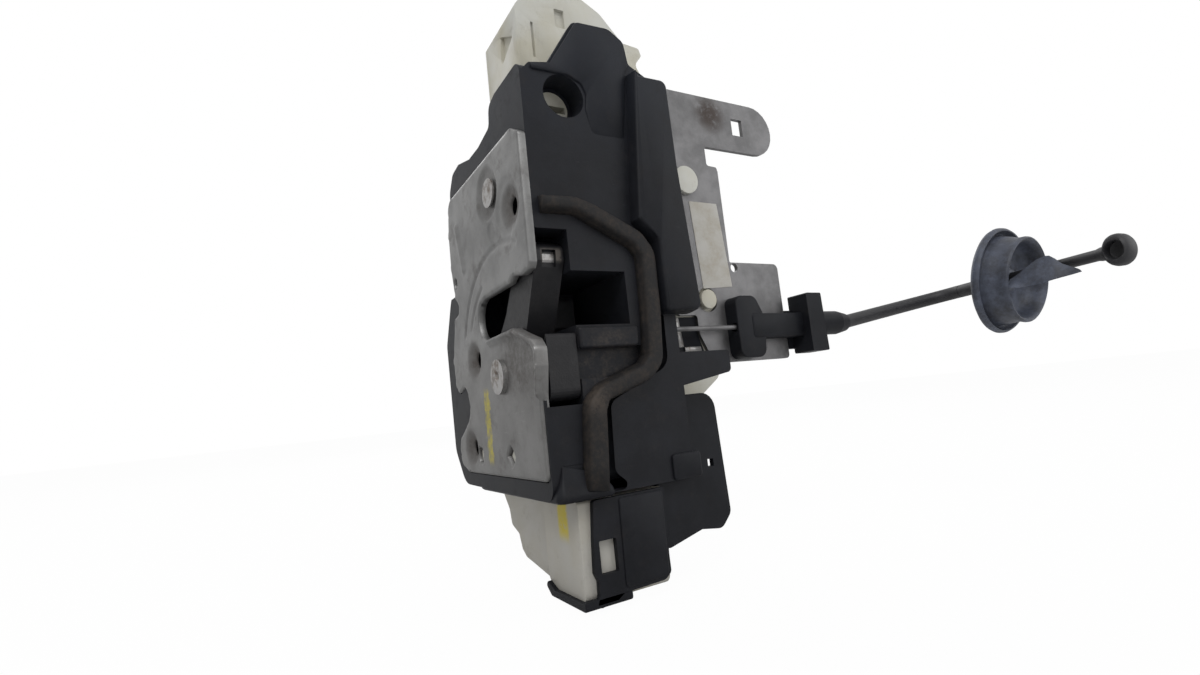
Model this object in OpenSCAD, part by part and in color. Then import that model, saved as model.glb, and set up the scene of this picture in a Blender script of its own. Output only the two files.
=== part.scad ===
// Power door latch with its lock actuator and inside release cable. Sizes are millimetres.
// Origin: axis of the seated striker, on the outer face of the face plate.
// +X runs into the door, +Y away from the mouth of the latch, +Z up.

/* [Face plate] */
// Height of the face plate
plate_h = 92.8; // [80:0.2:112]
// Width of the face plate
plate_w = 70.8; // [66:0.2:85]
// Thickness of the face plate
plate_t = 2.2; // [1.6:0.1:2.8]
// Depth of the mouth, from the side face to the seated striker
throat_depth = 22; // [20:0.5:25]
// Height of the mouth in the face plate
mouth_h = 12.4; // [10:0.2:14]
// Length of the mouth beyond the seated striker
mouth_over = 19.3; // [16:0.1:22]
// Core diameter of the three threaded fixing holes
fixing_d = 5; // [4:0.1:6.2]

/* [Claw and pawl] */
// Thickness of the covered claw
claw_t = 8.4; // [6.5:0.1:8.6]
// Thickness of the steel inside the claw, and of the pawl
claw_steel_t = 5; // [4:0.1:6]
// Width of the throat in the claw
claw_throat = 11; // [9.4:0.1:12.6]
// Reach of the long horn of the claw, from its pivot
claw_reach = 39.4; // [36:0.1:42]
// Diameter of the claw pivot
claw_pin_d = 9; // [7.5:0.1:10.8]
// Diameter of the pawl pivot
pawl_pin_d = 7; // [5.8:0.1:8.4]
// Angle through which the claw closes
claw_angle = 60; // [50:1:64]

/* [Latch housing] */
// Depth of the latch housing, from the plate's outer face to its open rear
housing_depth = 31; // [30:0.5:38]
// Thickness of the housing walls
wall = 2.2; // [1.8:0.1:2.7]
// Width of the striker window in the side face
window_w = 16.7; // [14:0.1:18]
// Diameter of the key hole in the side face
key_hole_d = 12.3; // [10.2:0.1:14.8]

/* [Side cover and bracket] */
// Height that the side cover stands proud of the side face
cover_proud = 4.5; // [3.5:0.1:5.5]
// Thickness of the steel bracket
bracket_t = 1.5; // [1.2:0.1:2]
// Width of the bracket arm
arm_w = 19; // [16:0.5:23]

/* [Actuator housing] */
// Thickness of the actuator housing across the door
actuator_t = 26; // [24:0.5:32]
// Height of the actuator housing above the origin
actuator_top = 103.5; // [94:0.5:120]
// Diameter of the lock motor
motor_d = 18; // [15:0.1:20]
// Number of teeth on the worm wheel
wheel_teeth = 26; // [22:1:30]

/* [Cable] */
// Outer diameter of the cable conduit
conduit_d = 5; // [4:0.1:6]
// Diameter of the grommet flange
grommet_d = 38; // [32:0.5:46]
// Diameter of the ball end
ball_d = 10.6; // [9:0.1:13]

/* [Fits] */
// Radial running clearance on a pivot
running_gap = 0.06; // [0.03:0.01:0.1]
// Clearance between parts that move past each other
moving_gap = 0.4; // [0.3:0.05:0.6]
// Clearance between fixed parts that nest
nest_gap = 0.3; // [0.2:0.05:0.5]

/* [Hidden] */
$fn = 64;
eps = 0.02;

// Colours of the real materials
steel = [0.62, 0.62, 0.60];
black = [0.10, 0.10, 0.11];
natural = [0.86, 0.84, 0.76];
rubber = [0.06, 0.06, 0.06];
brass = [0.72, 0.58, 0.30];
grey_rubber = [0.42, 0.46, 0.52];

// Edges of the face plate
near = -throat_depth;
far = near + plate_w;
top = plate_h / 2;
bottom = -plate_h / 2;
mouth_z = mouth_h / 2;

// Fixing holes in the face plate, as [y, z]
fixing_at = [[near + 9.7, top - 20], [far - 22.7, -11], [far - 13.4, bottom + 7.9]];
fixing_cone_d = 13;
fixing_cone_depth = 1.2;
fixing_collar_d = 8.6;
fixing_collar_l = 2.6;

// Layers along X
claw_gap = 0.5;
claw_x0 = plate_t + claw_gap;
claw_x1 = claw_x0 + claw_t;
steel_x0 = claw_x0 + (claw_t - claw_steel_t) / 2;
steel_x1 = steel_x0 + claw_steel_t;
floor_x0 = claw_x1 + moving_gap;
floor_t = 1.5;
back_x0 = floor_x0 + floor_t;
back_t = 2;
back_x1 = back_x0 + back_t;
lever_t = 2;
lever_x0 = back_x1 + moving_gap;
lever_x1 = lever_x0 + lever_t;

// Pivots of the claw and the pawl, as [y, z]
claw_at = [4, -18.2];
pawl_at = [1.5, 35];
pawl_drop = 27;
claw_sweep = claw_reach + 0.9;

// Throat of the claw, about its pivot, with the claw open
throat_dir = 118.6;
throat_seat = [-17.7, 5.6];

// Pin on the pawl that the release lever lifts
pawl_pin_r = 2;
pawl_pin_reach = 13;
pawl_pin_angle = -23;

// Latch housing
housing_top = top + 16.8;
housing_bottom = bottom - 5.1;
lip_x = 0.6;
side_right = 44;
window_x0 = floor_x0;
window_x1 = window_x0 + window_w;
window_z0 = -8;
window_z1 = 6.5;
channel_y1 = 9;
channel_wall = 1.8;
mouth_side_z0 = -26;
mouth_side_z1 = 17.5;
key_at = [14.8, housing_top - 7.9];
arm_z0 = -25.5;
arm_z1 = -16.6;
arm_x1 = 62.4;
rib_proud = 2.4;

// Levers behind the catch
inside_at = [40, 38];
inside_y0 = -12;
inside_t = 2;
wire_z = -8;
wire_y = -8;
wire_at = [inside_at[0] + 7.5, wire_z];
lever_pin_r = 3;
outside_at = [27, 47];
outside_y0 = -15.8;

// Bracket and actuator housing across the door
bracket_y0 = -4.4;
bracket_y1 = bracket_y0 + bracket_t;
actuator_y0 = bracket_y1;
actuator_y1 = actuator_y0 + actuator_t;
lid_t = 2;
pocket_y1 = actuator_y1 - lid_t;
pocket_y0 = actuator_y0 + wall;
gear_y = (pocket_y0 + pocket_y1) / 2;
actuator_x0 = 11.8;
actuator_mid_x = housing_depth;
actuator_x1 = 78;
actuator_bottom = housing_bottom - 23.5;
sump_top = housing_bottom - 1;
bulge_x = 7.5;
bulge_y1 = 0.4;

// Lock drive
module_size = 1;
worm_r = 2.6;
wheel_r = module_size * wheel_teeth / 2;
motor_l = 25;
motor_at = [43, -24];
worm_l = 18;
wheel_at = [motor_at[0] + worm_r + wheel_r + 0.25, motor_at[1] + 13.6];
wheel_t = 5;
pinion_teeth = 9;
pinion_t = 3.4;
sector_teeth = 36;
lock_at = [wheel_at[0], wheel_at[1] + module_size * (pinion_teeth + sector_teeth) / 2 + 0.15];

// Stakes of the actuator housing that hold the bracket, as [x, z, head radius]
stakes = [[68.4, 43.5, 4.8], [71.6, 2.2, 3.2]];

// Cable: the rod and ball beyond the grommet, and the points of the conduit's centreline
sleeve_x0 = 119;
sleeve_x1 = 135;
cable_z = wire_z + 0.5;
rod_from = [180.4, -43.7, 1];
rod_to = [170.4, -83, 1.4];
rod_dir = (rod_to - rod_from) / norm(rod_to - rod_from);
rod_d = 3.4;
rod_l = norm(rod_to - rod_from);
conduit_end_l = 17;
conduit_end = rod_from - rod_dir * conduit_end_l;
conduit_mid = conduit_end + rod_dir * (wire_y - conduit_end[1]) / rod_dir[1];
function bend(a, b, c, t) = a * (1 - t) * (1 - t) + b * 2 * t * (1 - t) + c * t * t;
conduit_route = [
    [sleeve_x1 - 6, wire_y, cable_z], [sleeve_x1 - 3, wire_y, cable_z],
    for (i = [0:12]) bend([sleeve_x1, wire_y, cable_z], conduit_mid, conduit_end, i / 12),
];

function xy(p) = [p[0], p[1]];
function unit(v) = v / norm(v);
function ring_item(list, i) = list[(i + len(list)) % len(list)];
function polar(r, a) = [r * cos(a), r * sin(a)];

// Points of one corner b, rounded to radius r, between neighbours a and c
function corner_arc(a, b, c, r) =
    let (
        u = unit(a - b),
        v = unit(c - b),
        half = acos(max(-1, min(1, u * v))) / 2,
        reach = min(r / tan(half), norm(a - b) / 2, norm(c - b) / 2),
        radius = reach * tan(half),
        centre = b + unit(u + v) * radius / sin(half),
        spoke = b + u * reach - centre,
        from = atan2(spoke[1], spoke[0]),
        sweep = (180 - 2 * half) * sign(cross(b - a, c - b)),
        steps = max(2, ceil(abs(sweep) / 15))
    )
    [for (i = [0:steps]) centre + polar(radius, from + sweep * i / steps)];

// Outline with each corner [a, b, radius] rounded
function rounded(p) = [
    for (i = [0:len(p) - 1])
        each (
            p[i][2] > 0
            ? corner_arc(xy(ring_item(p, i - 1)), xy(p[i]), xy(ring_item(p, i + 1)), p[i][2])
            : [xy(p[i])]
        )
];

// Outline moved inwards by d; its corners run counter-clockwise
function inner_normal(a, b) = unit([a[1] - b[1], b[0] - a[0]]);
function inset(p, d) = [
    for (i = [0:len(p) - 1])
        let (
            before = inner_normal(xy(ring_item(p, i - 1)), xy(p[i])),
            after = inner_normal(xy(p[i]), xy(ring_item(p, i + 1))),
            shift = (before + after) * d / (1 + before * after)
        )
        [p[i][0] + shift[0], p[i][1] + shift[1], p[i][2]]
];

// Solid of a YZ outline between two X, of an XZ outline between two Y, or of an XY one between two Z
module along_x(x0, x1) translate([x0, 0, 0]) rotate([90, 0, 90]) linear_extrude(x1 - x0) children();
module along_y(y0, y1) translate([0, y1, 0]) rotate([90, 0, 0]) linear_extrude(y1 - y0) children();
module along_z(z0, z1) translate([0, 0, z0]) linear_extrude(z1 - z0) children();

// Pin along X at [y, z], or along Y at [x, z]
module pin_x(at, r, x0, x1) translate([x0, at[0], at[1]]) rotate([0, 90, 0]) cylinder(r = r, h = x1 - x0);
module pin_y(at, r, y0, y1) translate([at[0], y0, at[1]]) rotate([-90, 0, 0]) cylinder(r = r, h = y1 - y0);

// Sector of a disc, from one angle to another
module sector(r, from, to) {
    steps = ceil((to - from) / 6);
    polygon([[0, 0], for (i = [0:steps]) polar(r, from + (to - from) * i / steps)]);
}

// Bar with round ends between two points of a plane
module link(a, b, ra, rb) hull() {
    translate(a) circle(ra, $fn = 32);
    translate(b) circle(rb, $fn = 32);
}

// Tube swept along a list of points
function sweep_frame(p, i) =
    let (d = unit(p[min(i + 1, len(p) - 1)] - p[max(i - 1, 0)]), side = unit(cross(d, [0, 0, 1])))
    [side, cross(side, d)];
module sweep(p, r, sides) {
    rings = [
        for (i = [0:len(p) - 1])
            let (frame = sweep_frame(p, i))
            [for (k = [0:sides - 1]) p[i] + (frame[0] * cos(360 * k / sides) + frame[1] * sin(360 * k / sides)) * r]
    ];
    last = (len(p) - 1) * sides;
    polyhedron(
        points = [for (ring = rings) each ring],
        faces = [
            [for (k = [0:sides - 1]) k],
            for (i = [0:len(p) - 2]) for (k = [0:sides - 1])
                [i * sides + k, (i + 1) * sides + k, (i + 1) * sides + (k + 1) % sides, i * sides + (k + 1) % sides],
            [for (k = [sides - 1:-1:0]) last + k],
        ]
    );
}

// Outline of the face plate in YZ
plate_outline = [
    [near + 1, bottom, 2], [far - 8, bottom, 4], [far - 1, bottom + 2.4, 4], [far - 0.4, bottom + 8, 4],
    [far - 2, bottom + 11.3, 3], [far - 9.8, bottom + 15.5, 4], [far - 14, bottom + 18.6, 3],
    [far - 14.1, bottom + 23.6, 3], [far - 10.6, bottom + 28.2, 2], [far - 4, bottom + 26, 2.5],
    [far - 0.9, bottom + 28.9, 3], [far, bottom + 37.7, 4], [far - 5.1, 5.4, 2], [far - 10.4, 6.4, 1],
    [far - 11.1, 8.8, 1], [far - 7.5, 11.8, 2], [far - 5.3, top - 23.4, 8], [far - 5.1, top - 12, 6],
    [far - 7.8, top, 5], [near + 5.4, top, 3], [near, top - 3.2, 1.5], [near, mouth_z + 2.3, 1],
    [near + 1.3, mouth_z + 0.7, 1], [near + 6, mouth_z + 0.3, 1], [near + 12, mouth_z + 1.5, 0.8],
    [near + 15, mouth_z, 1], [mouth_over, mouth_z, mouth_z], [mouth_over, -mouth_z, mouth_z],
    [near + 14, -mouth_z, 2], [near + 8.5, -mouth_z - 2.2, 1.5], [near + 1.4, -mouth_z - 5, 2],
    [near + 2.5, -mouth_z - 7.4, 1], [near + 2.5, -mouth_z - 18.9, 1], [near + 1, -mouth_z - 20.4, 1],
];

// Outline of the latch housing in YZ
housing_outline = [
    [near, housing_bottom, 4], [far - 1.8, housing_bottom + 0.9, 8], [far + 6.7, housing_bottom + 11.9, 6],
    [far + 8.2, -2.3, 4], [far + 0.2, 11, 2], [far - 2.8, 15, 1], [far - 4.1, housing_top - 12.2, 4],
    [far - 8.8, housing_top - 7, 3], [far - 15.8, housing_top - 6.2, 3], [far - 27, housing_top - 9, 2],
    [far - 36, housing_top - 9, 1], [near + 24.5, housing_top - 7.2, 2], [near + 23.5, housing_top - 1.2, 3],
    [near + 18, housing_top, 2], [near, housing_top, 3],
];

// Outline of the side face in XZ
side_outline = [
    [plate_t, housing_bottom + 2, 2], [5, housing_bottom, 2], [side_right, housing_bottom, 2],
    [side_right, housing_top + 2.8, 2], [37.6, housing_top + 6, 2], [36.5, housing_top + 12.3, 3],
    [31.2, housing_top + 15.6, 4], [19.9, housing_top + 15.1, 2.5], [10.8, housing_top + 1.1, 1],
    [5.1, housing_top, 1], [plate_t, housing_top - 3.2, 1],
];

// Steel face plate: mouth, three dished and threaded fixing holes, small slots, rivet holes
module striker_plate() color(steel) difference() {
    union() {
        along_x(0, plate_t) polygon(rounded(plate_outline));
        for (at = fixing_at) pin_x(at, fixing_collar_d / 2, plate_t - eps, plate_t + fixing_collar_l);
    }
    for (at = fixing_at) {
        pin_x(at, fixing_d / 2, -1, plate_t + fixing_collar_l + 1);
        translate([-eps, at[0], at[1]]) rotate([0, 90, 0])
            cylinder(r1 = fixing_cone_d / 2, r2 = fixing_d / 2, h = fixing_cone_depth);
    }
    pin_x(claw_at, rivet_neck_r, -1, plate_t + 1);
    pin_x(pawl_at, pawl_neck_r, -1, plate_t + 1);
    along_x(-1, plate_t + 1) {
        translate([far - 21.3, bottom + 5.6]) square([2, 4.6], center = true);
        translate([near + 23.6, bottom + 5.7]) rotate(45) square(3.6, center = true);
        translate([far - 8.3, 15.4]) circle(1.1);
    }
}

rivet_neck_r = 3;
pawl_neck_r = 2.6;

// Steel plate behind the catch that carries the rear ends of both pivots
module back_plate() color(steel) along_x(back_x0, back_x1) difference() {
    polygon(rounded([
        [near + 4, bottom + 12, 4], [26, bottom + 12, 5], [26, top - 18, 6], [16, top - 3, 5],
        [near + 8, top - 3, 5], [near + 4, top - 12, 4],
    ]));
    translate([near, window_z0 - channel_wall - nest_gap])
        square([channel_y1 + channel_wall + nest_gap - near, window_z1 - window_z0 + 2 * (channel_wall + nest_gap)]);
    translate(claw_at) circle(rivet_neck_r + 0.03);
    translate(pawl_at) circle(pawl_neck_r + 0.03);
    pawl_pin_slot();
}

// Arc that the pawl's pin runs in
module pawl_pin_slot() translate(pawl_at) difference() {
    sector(pawl_pin_reach + pawl_pin_r + moving_gap, pawl_pin_angle - pawl_drop - 14, pawl_pin_angle + 14);
    sector(pawl_pin_reach - pawl_pin_r - moving_gap, pawl_pin_angle - pawl_drop - 20, pawl_pin_angle + 20);
}

// Black moulding that holds the catch, with the side face and the striker channel
module latch_housing() color(black) difference() {
    union() {
        along_x(plate_t, back_x0) polygon(rounded(housing_outline));
        along_x(back_x0 - eps, housing_depth) difference() {
            polygon(rounded(housing_outline));
            polygon(rounded(inset(housing_outline, wall)));
        }
        along_x(lip_x, plate_t + eps) difference() {
            polygon(rounded(housing_outline));
            polygon(rounded(inset(plate_outline, -nest_gap)));
            translate([near - 1, 13]) square([plate_w + 20, housing_top]);
            translate([near - 1, -mouth_z - 20.4]) square([plate_w / 2 + 14, 60]);
        }
        along_y(near, near + wall) polygon(rounded(side_outline));
        channel_box();
        seal_rib();
        side_arm();
        pin_y(inside_at, lever_pin_r + 2, near + wall - eps, inside_y0 - moving_gap);
        pin_y(key_at, key_hole_d / 2 + wall, near + eps, cam_y1);
    }
    along_x(plate_t - 1, floor_x0) catch_cavity();
    translate([plate_t, near - 1, mouth_side_z0])
        cube([floor_x0 - plate_t, 12, mouth_side_z1 - mouth_side_z0]);
    translate([window_x0 - eps, near - 5, window_z0])
        cube([window_w, channel_y1 - near + 5, window_z1 - window_z0]);
    translate([window_x0, near - 1, mouth_side_z0 + 4])
        cube([window_w + 3, 1 + 0.8 * wall, window_z0 - mouth_side_z0 - 10]);
    along_x(floor_x0 - 1, back_x0 + 1) pawl_pin_slot();
    pin_x(claw_at, claw_pin_d / 2, plate_t, back_x0 + 1);
    pin_x(pawl_at, pawl_pin_d / 2, plate_t, back_x0 + 1);
    pin_y(key_at, key_hole_d / 2, near - 1, near + key_bore_l);
    pin_y(key_at, key_cam_r + running_gap, near, cam_y1);
    pin_y(key_at, 6.4, cam_y1, cam_y1 + 6);
    pin_y(inside_at, lever_pin_r, near + wall / 2, inside_y0);
    for (at = fixing_at)
        pin_x(at, fixing_collar_d / 2 + nest_gap, plate_t - 1, floor_x0);
}

key_bore_l = 7.6;
key_cam_r = 5;
cam_y1 = near + 18;

// Hollow that the claw and the pawl swing in, in YZ
module catch_cavity() {
    translate(claw_at) {
        circle(27.9);
        sector(claw_sweep, 50, 134);
        polygon(rounded([[0, -20, 0], [22, -12, 4], [22, 16, 4], [claw_sweep * cos(50), claw_sweep * sin(50), 2], [0, 30, 0]]));
    }
    translate(pawl_at) {
        circle(11.2);
        sector(28, -100, 28);
    }
}

// Walls of the channel that the striker bar runs in
module channel_box() difference() {
    translate([floor_x0, near, window_z0 - channel_wall])
        cube([window_w + channel_wall, channel_y1 + channel_wall - near, window_z1 - window_z0 + 2 * channel_wall]);
    translate([floor_x0 - 1, near - 1, window_z0])
        cube([window_w + 1, channel_y1 + 1 - near, window_z1 - window_z0]);
}

// Raised rib that the door's rubber seal presses on
module seal_rib() along_y(near - rib_proud, near + eps) polygon(rounded([
    [5.4, 22.2, 1], [16.6, 22, 4], [32.4, 12.4, 3], [33, -17.6, 4], [14.2, -26, 2], [12.4, housing_bottom + 5, 2],
    [5, housing_bottom + 4, 2], [7, housing_bottom, 2], [24, housing_bottom + 0.4, 6], [18.6, housing_bottom + 5, 3],
    [19.4, -28.6, 3], [39.4, -20, 5], [40.2, 12.6, 4], [34.6, 17.6, 4], [17.4, 25.6, 4], [5.4, 25.6, 1],
]));

// Arm beside the bracket, which backs the cable end
module side_arm() along_y(near, near + 8) polygon(rounded([
    [side_right - 3, arm_z0 - 1, 2], [arm_x1, arm_z0 + 2.4, 1.5], [arm_x1, arm_z1, 1], [side_right - 3, arm_z1, 1],
]));

// Rubber block that the striker lands on
module striker_buffer() color(rubber) along_x(floor_x0 + 2, window_x1 - 2) polygon(rounded([
    [5.4, -5.6, 1.5], [channel_y1 - eps, -5.6, 0], [channel_y1 - eps, 5, 0], [5.4, 5, 1.5],
]));

// Stepped rivet that the claw turns on
module claw_pivot() color(steel) difference() {
    union() {
        pin_x(claw_at, 5, -1.4, 0);
        pin_x(claw_at, rivet_neck_r, -eps, plate_t);
        pin_x(claw_at, claw_pin_d / 2, plate_t, back_x0);
        pin_x(claw_at, rivet_neck_r, back_x0 - eps, back_x1);
        pin_x(claw_at, 4.4, back_x1, back_x1 + 1.2);
    }
    translate([-1.5, claw_at[0], claw_at[1]]) rotate([0, 90, 0]) cylinder(r1 = 1.8, r2 = 0.9, h = 0.9);
}

// Stepped rivet that the pawl and the release lever turn on
module pawl_pivot() color(steel) {
    pin_x(pawl_at, pawl_neck_r, -eps, plate_t);
    pin_x(pawl_at, 4.2, -0.5, 0);
    pin_x(pawl_at, pawl_pin_d / 2, plate_t, back_x0);
    pin_x(pawl_at, pawl_neck_r, back_x0 - eps, lever_x1 + moving_gap);
    pin_x(pawl_at, 4.4, lever_x1 + moving_gap, lever_x1 + moving_gap + 1.2);
}

// Outline of the claw about its pivot, standing open
claw_points = [
    [-25.8, -8.6, 3], [-13, -9.8, 5], [0, -11, 6], [9, -8, 6], [9, 9, 6], [-1, 17.6, 6], [-8, 27, 6],
    [-17.6, 34.9, 3], [-23.6, 31.6, 2.5], [-23.6, 18, 0], [-21.6, 9.4, 0], [-25.8, 8.4, 1.4],
];
module claw_shape(skin) difference() {
    polygon(rounded(inset(claw_points, skin)));
    translate(throat_seat) rotate(throat_dir) {
        circle(claw_throat / 2 + skin);
        translate([0, -claw_throat / 2 - skin]) square([40, claw_throat + 2 * skin]);
    }
}

// Steel core of the claw
claw_skin = 1.3;
module claw_plate() color(steel) translate([0, claw_at[0], claw_at[1]]) difference() {
    along_x(steel_x0, steel_x1) claw_shape(claw_skin);
    pin_x([0, 0], claw_pin_d / 2 + running_gap, 0, back_x0);
}

// Plastic moulded round the claw, with a bare patch where the pawl catches
module claw_cover() color(black) translate([0, claw_at[0], claw_at[1]]) difference() {
    along_x(claw_x0, claw_x1) claw_shape(0);
    along_x(steel_x0, steel_x1) claw_shape(claw_skin);
    pin_x([0, 0], claw_pin_d / 2 + running_gap + 0.8, 0, back_x0);
    translate([steel_x0 + 0.5, -26, 26.2]) cube([claw_steel_t - 1, 4, 4.6]);
}

// Pawl outline about its pivot, in the engaged position
pawl_points = [
    [11.9, -23.4, 1], [14.7, -18.8, 0.8], [14.6, -12, 3], [10.4, 3, 6], [3, 9, 5], [-7, 7, 6], [-8.4, -3, 5],
    [1.6, -13, 5], [6.8, -22, 2],
];
module pawl() color(steel) translate([0, pawl_at[0], pawl_at[1]]) rotate([pawl_drop, 0, 0]) difference() {
    union() {
        along_x(steel_x0, steel_x1) polygon(rounded(pawl_points));
        pin_x(polar(pawl_pin_reach, pawl_pin_angle - pawl_drop), pawl_pin_r, steel_x1 - eps, lever_x1 + 0.6);
    }
    pin_x([0, 0], pawl_pin_d / 2 + running_gap, 0, back_x0);
}

// Plastic sleeve on the pawl's pin
module pawl_sleeve() color(natural) translate([0, pawl_at[0], pawl_at[1]]) rotate([pawl_drop, 0, 0]) {
    at = polar(pawl_pin_reach, pawl_pin_angle - pawl_drop);
    difference() {
        pin_x(at, pawl_pin_r + 0.7, lever_x1 + 0.7, lever_x1 + 2.4);
        pin_x(at, pawl_pin_r, lever_x1 - 1, lever_x1 + 0.62);
    }
}

// Leg springs: coils about a pivot, with two straight legs
function coil(at, r, wire, turns, x0, from) = [
    for (i = [0:turns * 14])
        let (a = from + 360 * i / 14) [x0 + wire * 1.15 * i / 14, at[0] + r * cos(a), at[1] + r * sin(a)]
];
module claw_spring() color(steel)
    sweep(coil(claw_at, 7, 1.4, 3, back_x1 + 1.3, -160), 0.7, 8);
module pawl_spring() color(steel)
    sweep(coil(pawl_at, 6.4, 1.1, 3, lever_x1 + moving_gap + 0.9, 30), 0.55, 8);

// Lever on the pawl's pivot that lifts the pawl by its pin
module release_lever() color(steel) translate([0, pawl_at[0], pawl_at[1]]) along_x(lever_x0, lever_x1) difference() {
    finger = pawl_pin_angle - asin((pawl_pin_r + 0.3) / pawl_pin_reach);
    union() {
        circle(7.5);
        rotate(finger) translate([0, -5]) square([pawl_pin_reach + 3, 5]);
        rotate(13.5) translate([-20, -3]) square([20, 6]);
    }
    circle(pawl_neck_r + running_gap);
}

// Bell crank that the inside cable pulls
inside_tip_x = lever_x0 + 2.3;
module inside_lever() color(steel) difference() {
    union() {
        along_y(inside_y0, inside_y0 + inside_t) {
            link(inside_at, [inside_tip_x, inside_at[1]], 6, 2.3);
            link(inside_at, wire_at, 6, 3.4);
        }
        pin_y(wire_at, 2, inside_y0 + inside_t - eps, wire_y + 2);
    }
    pin_y(inside_at, lever_pin_r + running_gap, inside_y0 - 1, inside_y0 + inside_t + 1);
}

// Lever that the outside handle turns, its end below the key hole
module outside_lever() color(steel) difference() {
    along_y(outside_y0, outside_y0 + lever_t) {
        link(outside_at, [22.6, 42], 5, 2.4);
        link(outside_at, [33.4, 31], 5, 3);
    }
    pin_y(outside_at, lever_pin_r + running_gap, outside_y0 - 1, outside_y0 + lever_t + 1);
}

// Pins that the two levers turn on
module lever_pins() color(steel) {
    pin_y(inside_at, lever_pin_r, near + wall / 2, inside_y0 + inside_t + moving_gap);
    pin_y(inside_at, lever_pin_r + 1.2, inside_y0 + inside_t + moving_gap, inside_y0 + inside_t + moving_gap + 1);
    pin_y(outside_at, lever_pin_r, near + wall, outside_y0 + lever_t + moving_gap);
    pin_y(outside_at, lever_pin_r + 1.2, outside_y0 + lever_t + moving_gap, outside_y0 + lever_t + moving_gap + 1);
    pin_y(outside_at, lever_pin_r + 1.2, near + wall, outside_y0 - moving_gap);
}

// Cam that the key cylinder's blade turns
module key_cam() color(natural) difference() {
    union() {
        pin_y(key_at, key_cam_r, near + key_bore_l, cam_y1 + moving_gap + eps);
        along_y(cam_y1 + moving_gap, cam_y1 + moving_gap + 2) link(key_at, [key_at[0] + 9, key_at[1] - 2], 5.6, 2);
    }
    translate([key_at[0] - 4.2, near + key_bore_l - 1, key_at[1] - 1]) cube([8.4, 7, 2]);
}

// Micro switch that reads whether the claw is closed
module micro_switch(size) {
    cube(size);
    translate([size[0] * 0.25, size[1] - 0.2, size[2] - eps]) cube([1.6, 1.2, 1]);
}
module ajar_switch() color(black) translate([back_x1, 12.2, -33.6]) micro_switch([6.4, 12.8, 6.4]);
module lock_switch() color(black) translate([36.5, pocket_y0, 30]) micro_switch([6.4, 12.8, 6.4]);

// Cover over the rear of the catch, beside the actuator housing
module rear_cover() color(black) along_x(housing_depth - 2, housing_depth) intersection() {
    polygon(rounded(inset(housing_outline, wall + 0.1)));
    translate([channel_y1 + channel_wall + 0.6, housing_bottom]) square([80, 200]);
}

// Raised cover on the side face
side_cover_outline = [
    [41.6, -4.8, 1.5], [53.6, -3.2, 2], [50.8, housing_top + 2.2, 2], [39.6, housing_top + 2.4, 0.6],
    [39.2, housing_top + 3.8, 0.5], [36, housing_top + 3.8, 1], [33.4, 19.8, 1], [37.4, 15.2, 2], [42, 11, 2],
];
side_cover_core = [
    [41.6 + wall, -4.8 + wall, 1], [53.6 - 1.1 * wall, -3 + wall, 1], [50.8 - wall, housing_top + 2.2 - wall, 1],
    [36 + wall, housing_top + 2.2 - wall, 1], [33.6 + wall, 21, 1], [41.6 + wall, 13, 1],
];
module side_cover() color(black) difference() {
    face_y = near - cover_proud;
    along_y(face_y, bracket_y0) polygon(rounded(side_cover_outline));
    along_y(face_y + wall, bracket_y0 + 1) polygon(rounded(side_cover_core));
    translate([0, near, -20]) cube([side_right + nest_gap, 40, 120]);
    translate([0, near, -20]) cube([80, 40, 30]);
}

// White moulding behind and above the catch, hollow and open to the rear
actuator_outline = [
    [actuator_mid_x, actuator_bottom + 6, 2], [50, actuator_bottom + 6, 4], [58, actuator_bottom + 12, 4],
    [62, -32, 4], [74, -24, 4], [actuator_x1, -14, 4], [actuator_x1, 54, 5], [60, 74, 8],
    [54.7, actuator_top - 19.7, 2], [57.7, actuator_top - 15.9, 1], [56.9, actuator_top - 13.3, 1],
    [50.4, actuator_top - 12.8, 1], [42.5, actuator_top - 4.3, 5], [36.3, actuator_top - 1, 3],
    [31, actuator_top, 4], [20, actuator_top, 6], [13.6, actuator_top - 6.6, 3],
    [actuator_x0, actuator_top - 9, 1], [actuator_x0, housing_top + 1.6, 2], [actuator_mid_x, housing_top + 1.6, 2],
];

// Two stepped bays of the white moulding under the catch, in YZ
bay_outline = [
    [near + 1.8, actuator_bottom - 2, 3], [8, actuator_bottom - 2, 3], [26.2, actuator_bottom + 1.2, 2],
    [29.1, actuator_bottom + 3.2, 1], [31, actuator_bottom + 7.8, 1], [36.5, actuator_bottom + 10, 2],
    [37.6, actuator_bottom + 14.8, 1], [44, sump_top, 1], [near + 1.8, sump_top, 1],
];
motor_bay_outline = [
    [near + 1.8, actuator_bottom - 3, 3], [bulge_y1 - 4, actuator_bottom - 3, 2],
    [bulge_y1, actuator_bottom + 1, 2], [bulge_y1, sump_top, 1], [near + 1.8, sump_top, 1],
];
bay_x1 = actuator_mid_x + wall;
module actuator_housing() color(natural) difference() {
    union() {
        along_y(actuator_y0, pocket_y1) polygon(rounded(actuator_outline));
        along_x(actuator_x0, bay_x1) polygon(rounded(bay_outline));
        along_x(bulge_x, bay_x1) polygon(rounded(motor_bay_outline));
        for (s = stakes) {
            pin_y(s, s[2] * 0.7, bracket_y0, actuator_y0 + eps);
            pin_y(s, s[2], bracket_y0 - 1.6, bracket_y0);
        }
    }
    along_y(pocket_y0, pocket_y1 + 1) polygon(rounded(inset(actuator_outline, wall)));
    along_x(actuator_x0 + wall, bay_x1 - wall) polygon(rounded(inset(bay_outline, wall)));
    along_x(bulge_x + wall, bay_x1 - wall) polygon(rounded(inset(motor_bay_outline, wall)));
    along_x(bay_x1 - wall - 1, bay_x1 + 1) translate([2, actuator_bottom + 9]) square([14, 8]);
    for (at = [wheel_at, lock_at]) pin_y(at, axle_r, pocket_y0 - 0.6, pocket_y1);
}

axle_r = 2;

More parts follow.
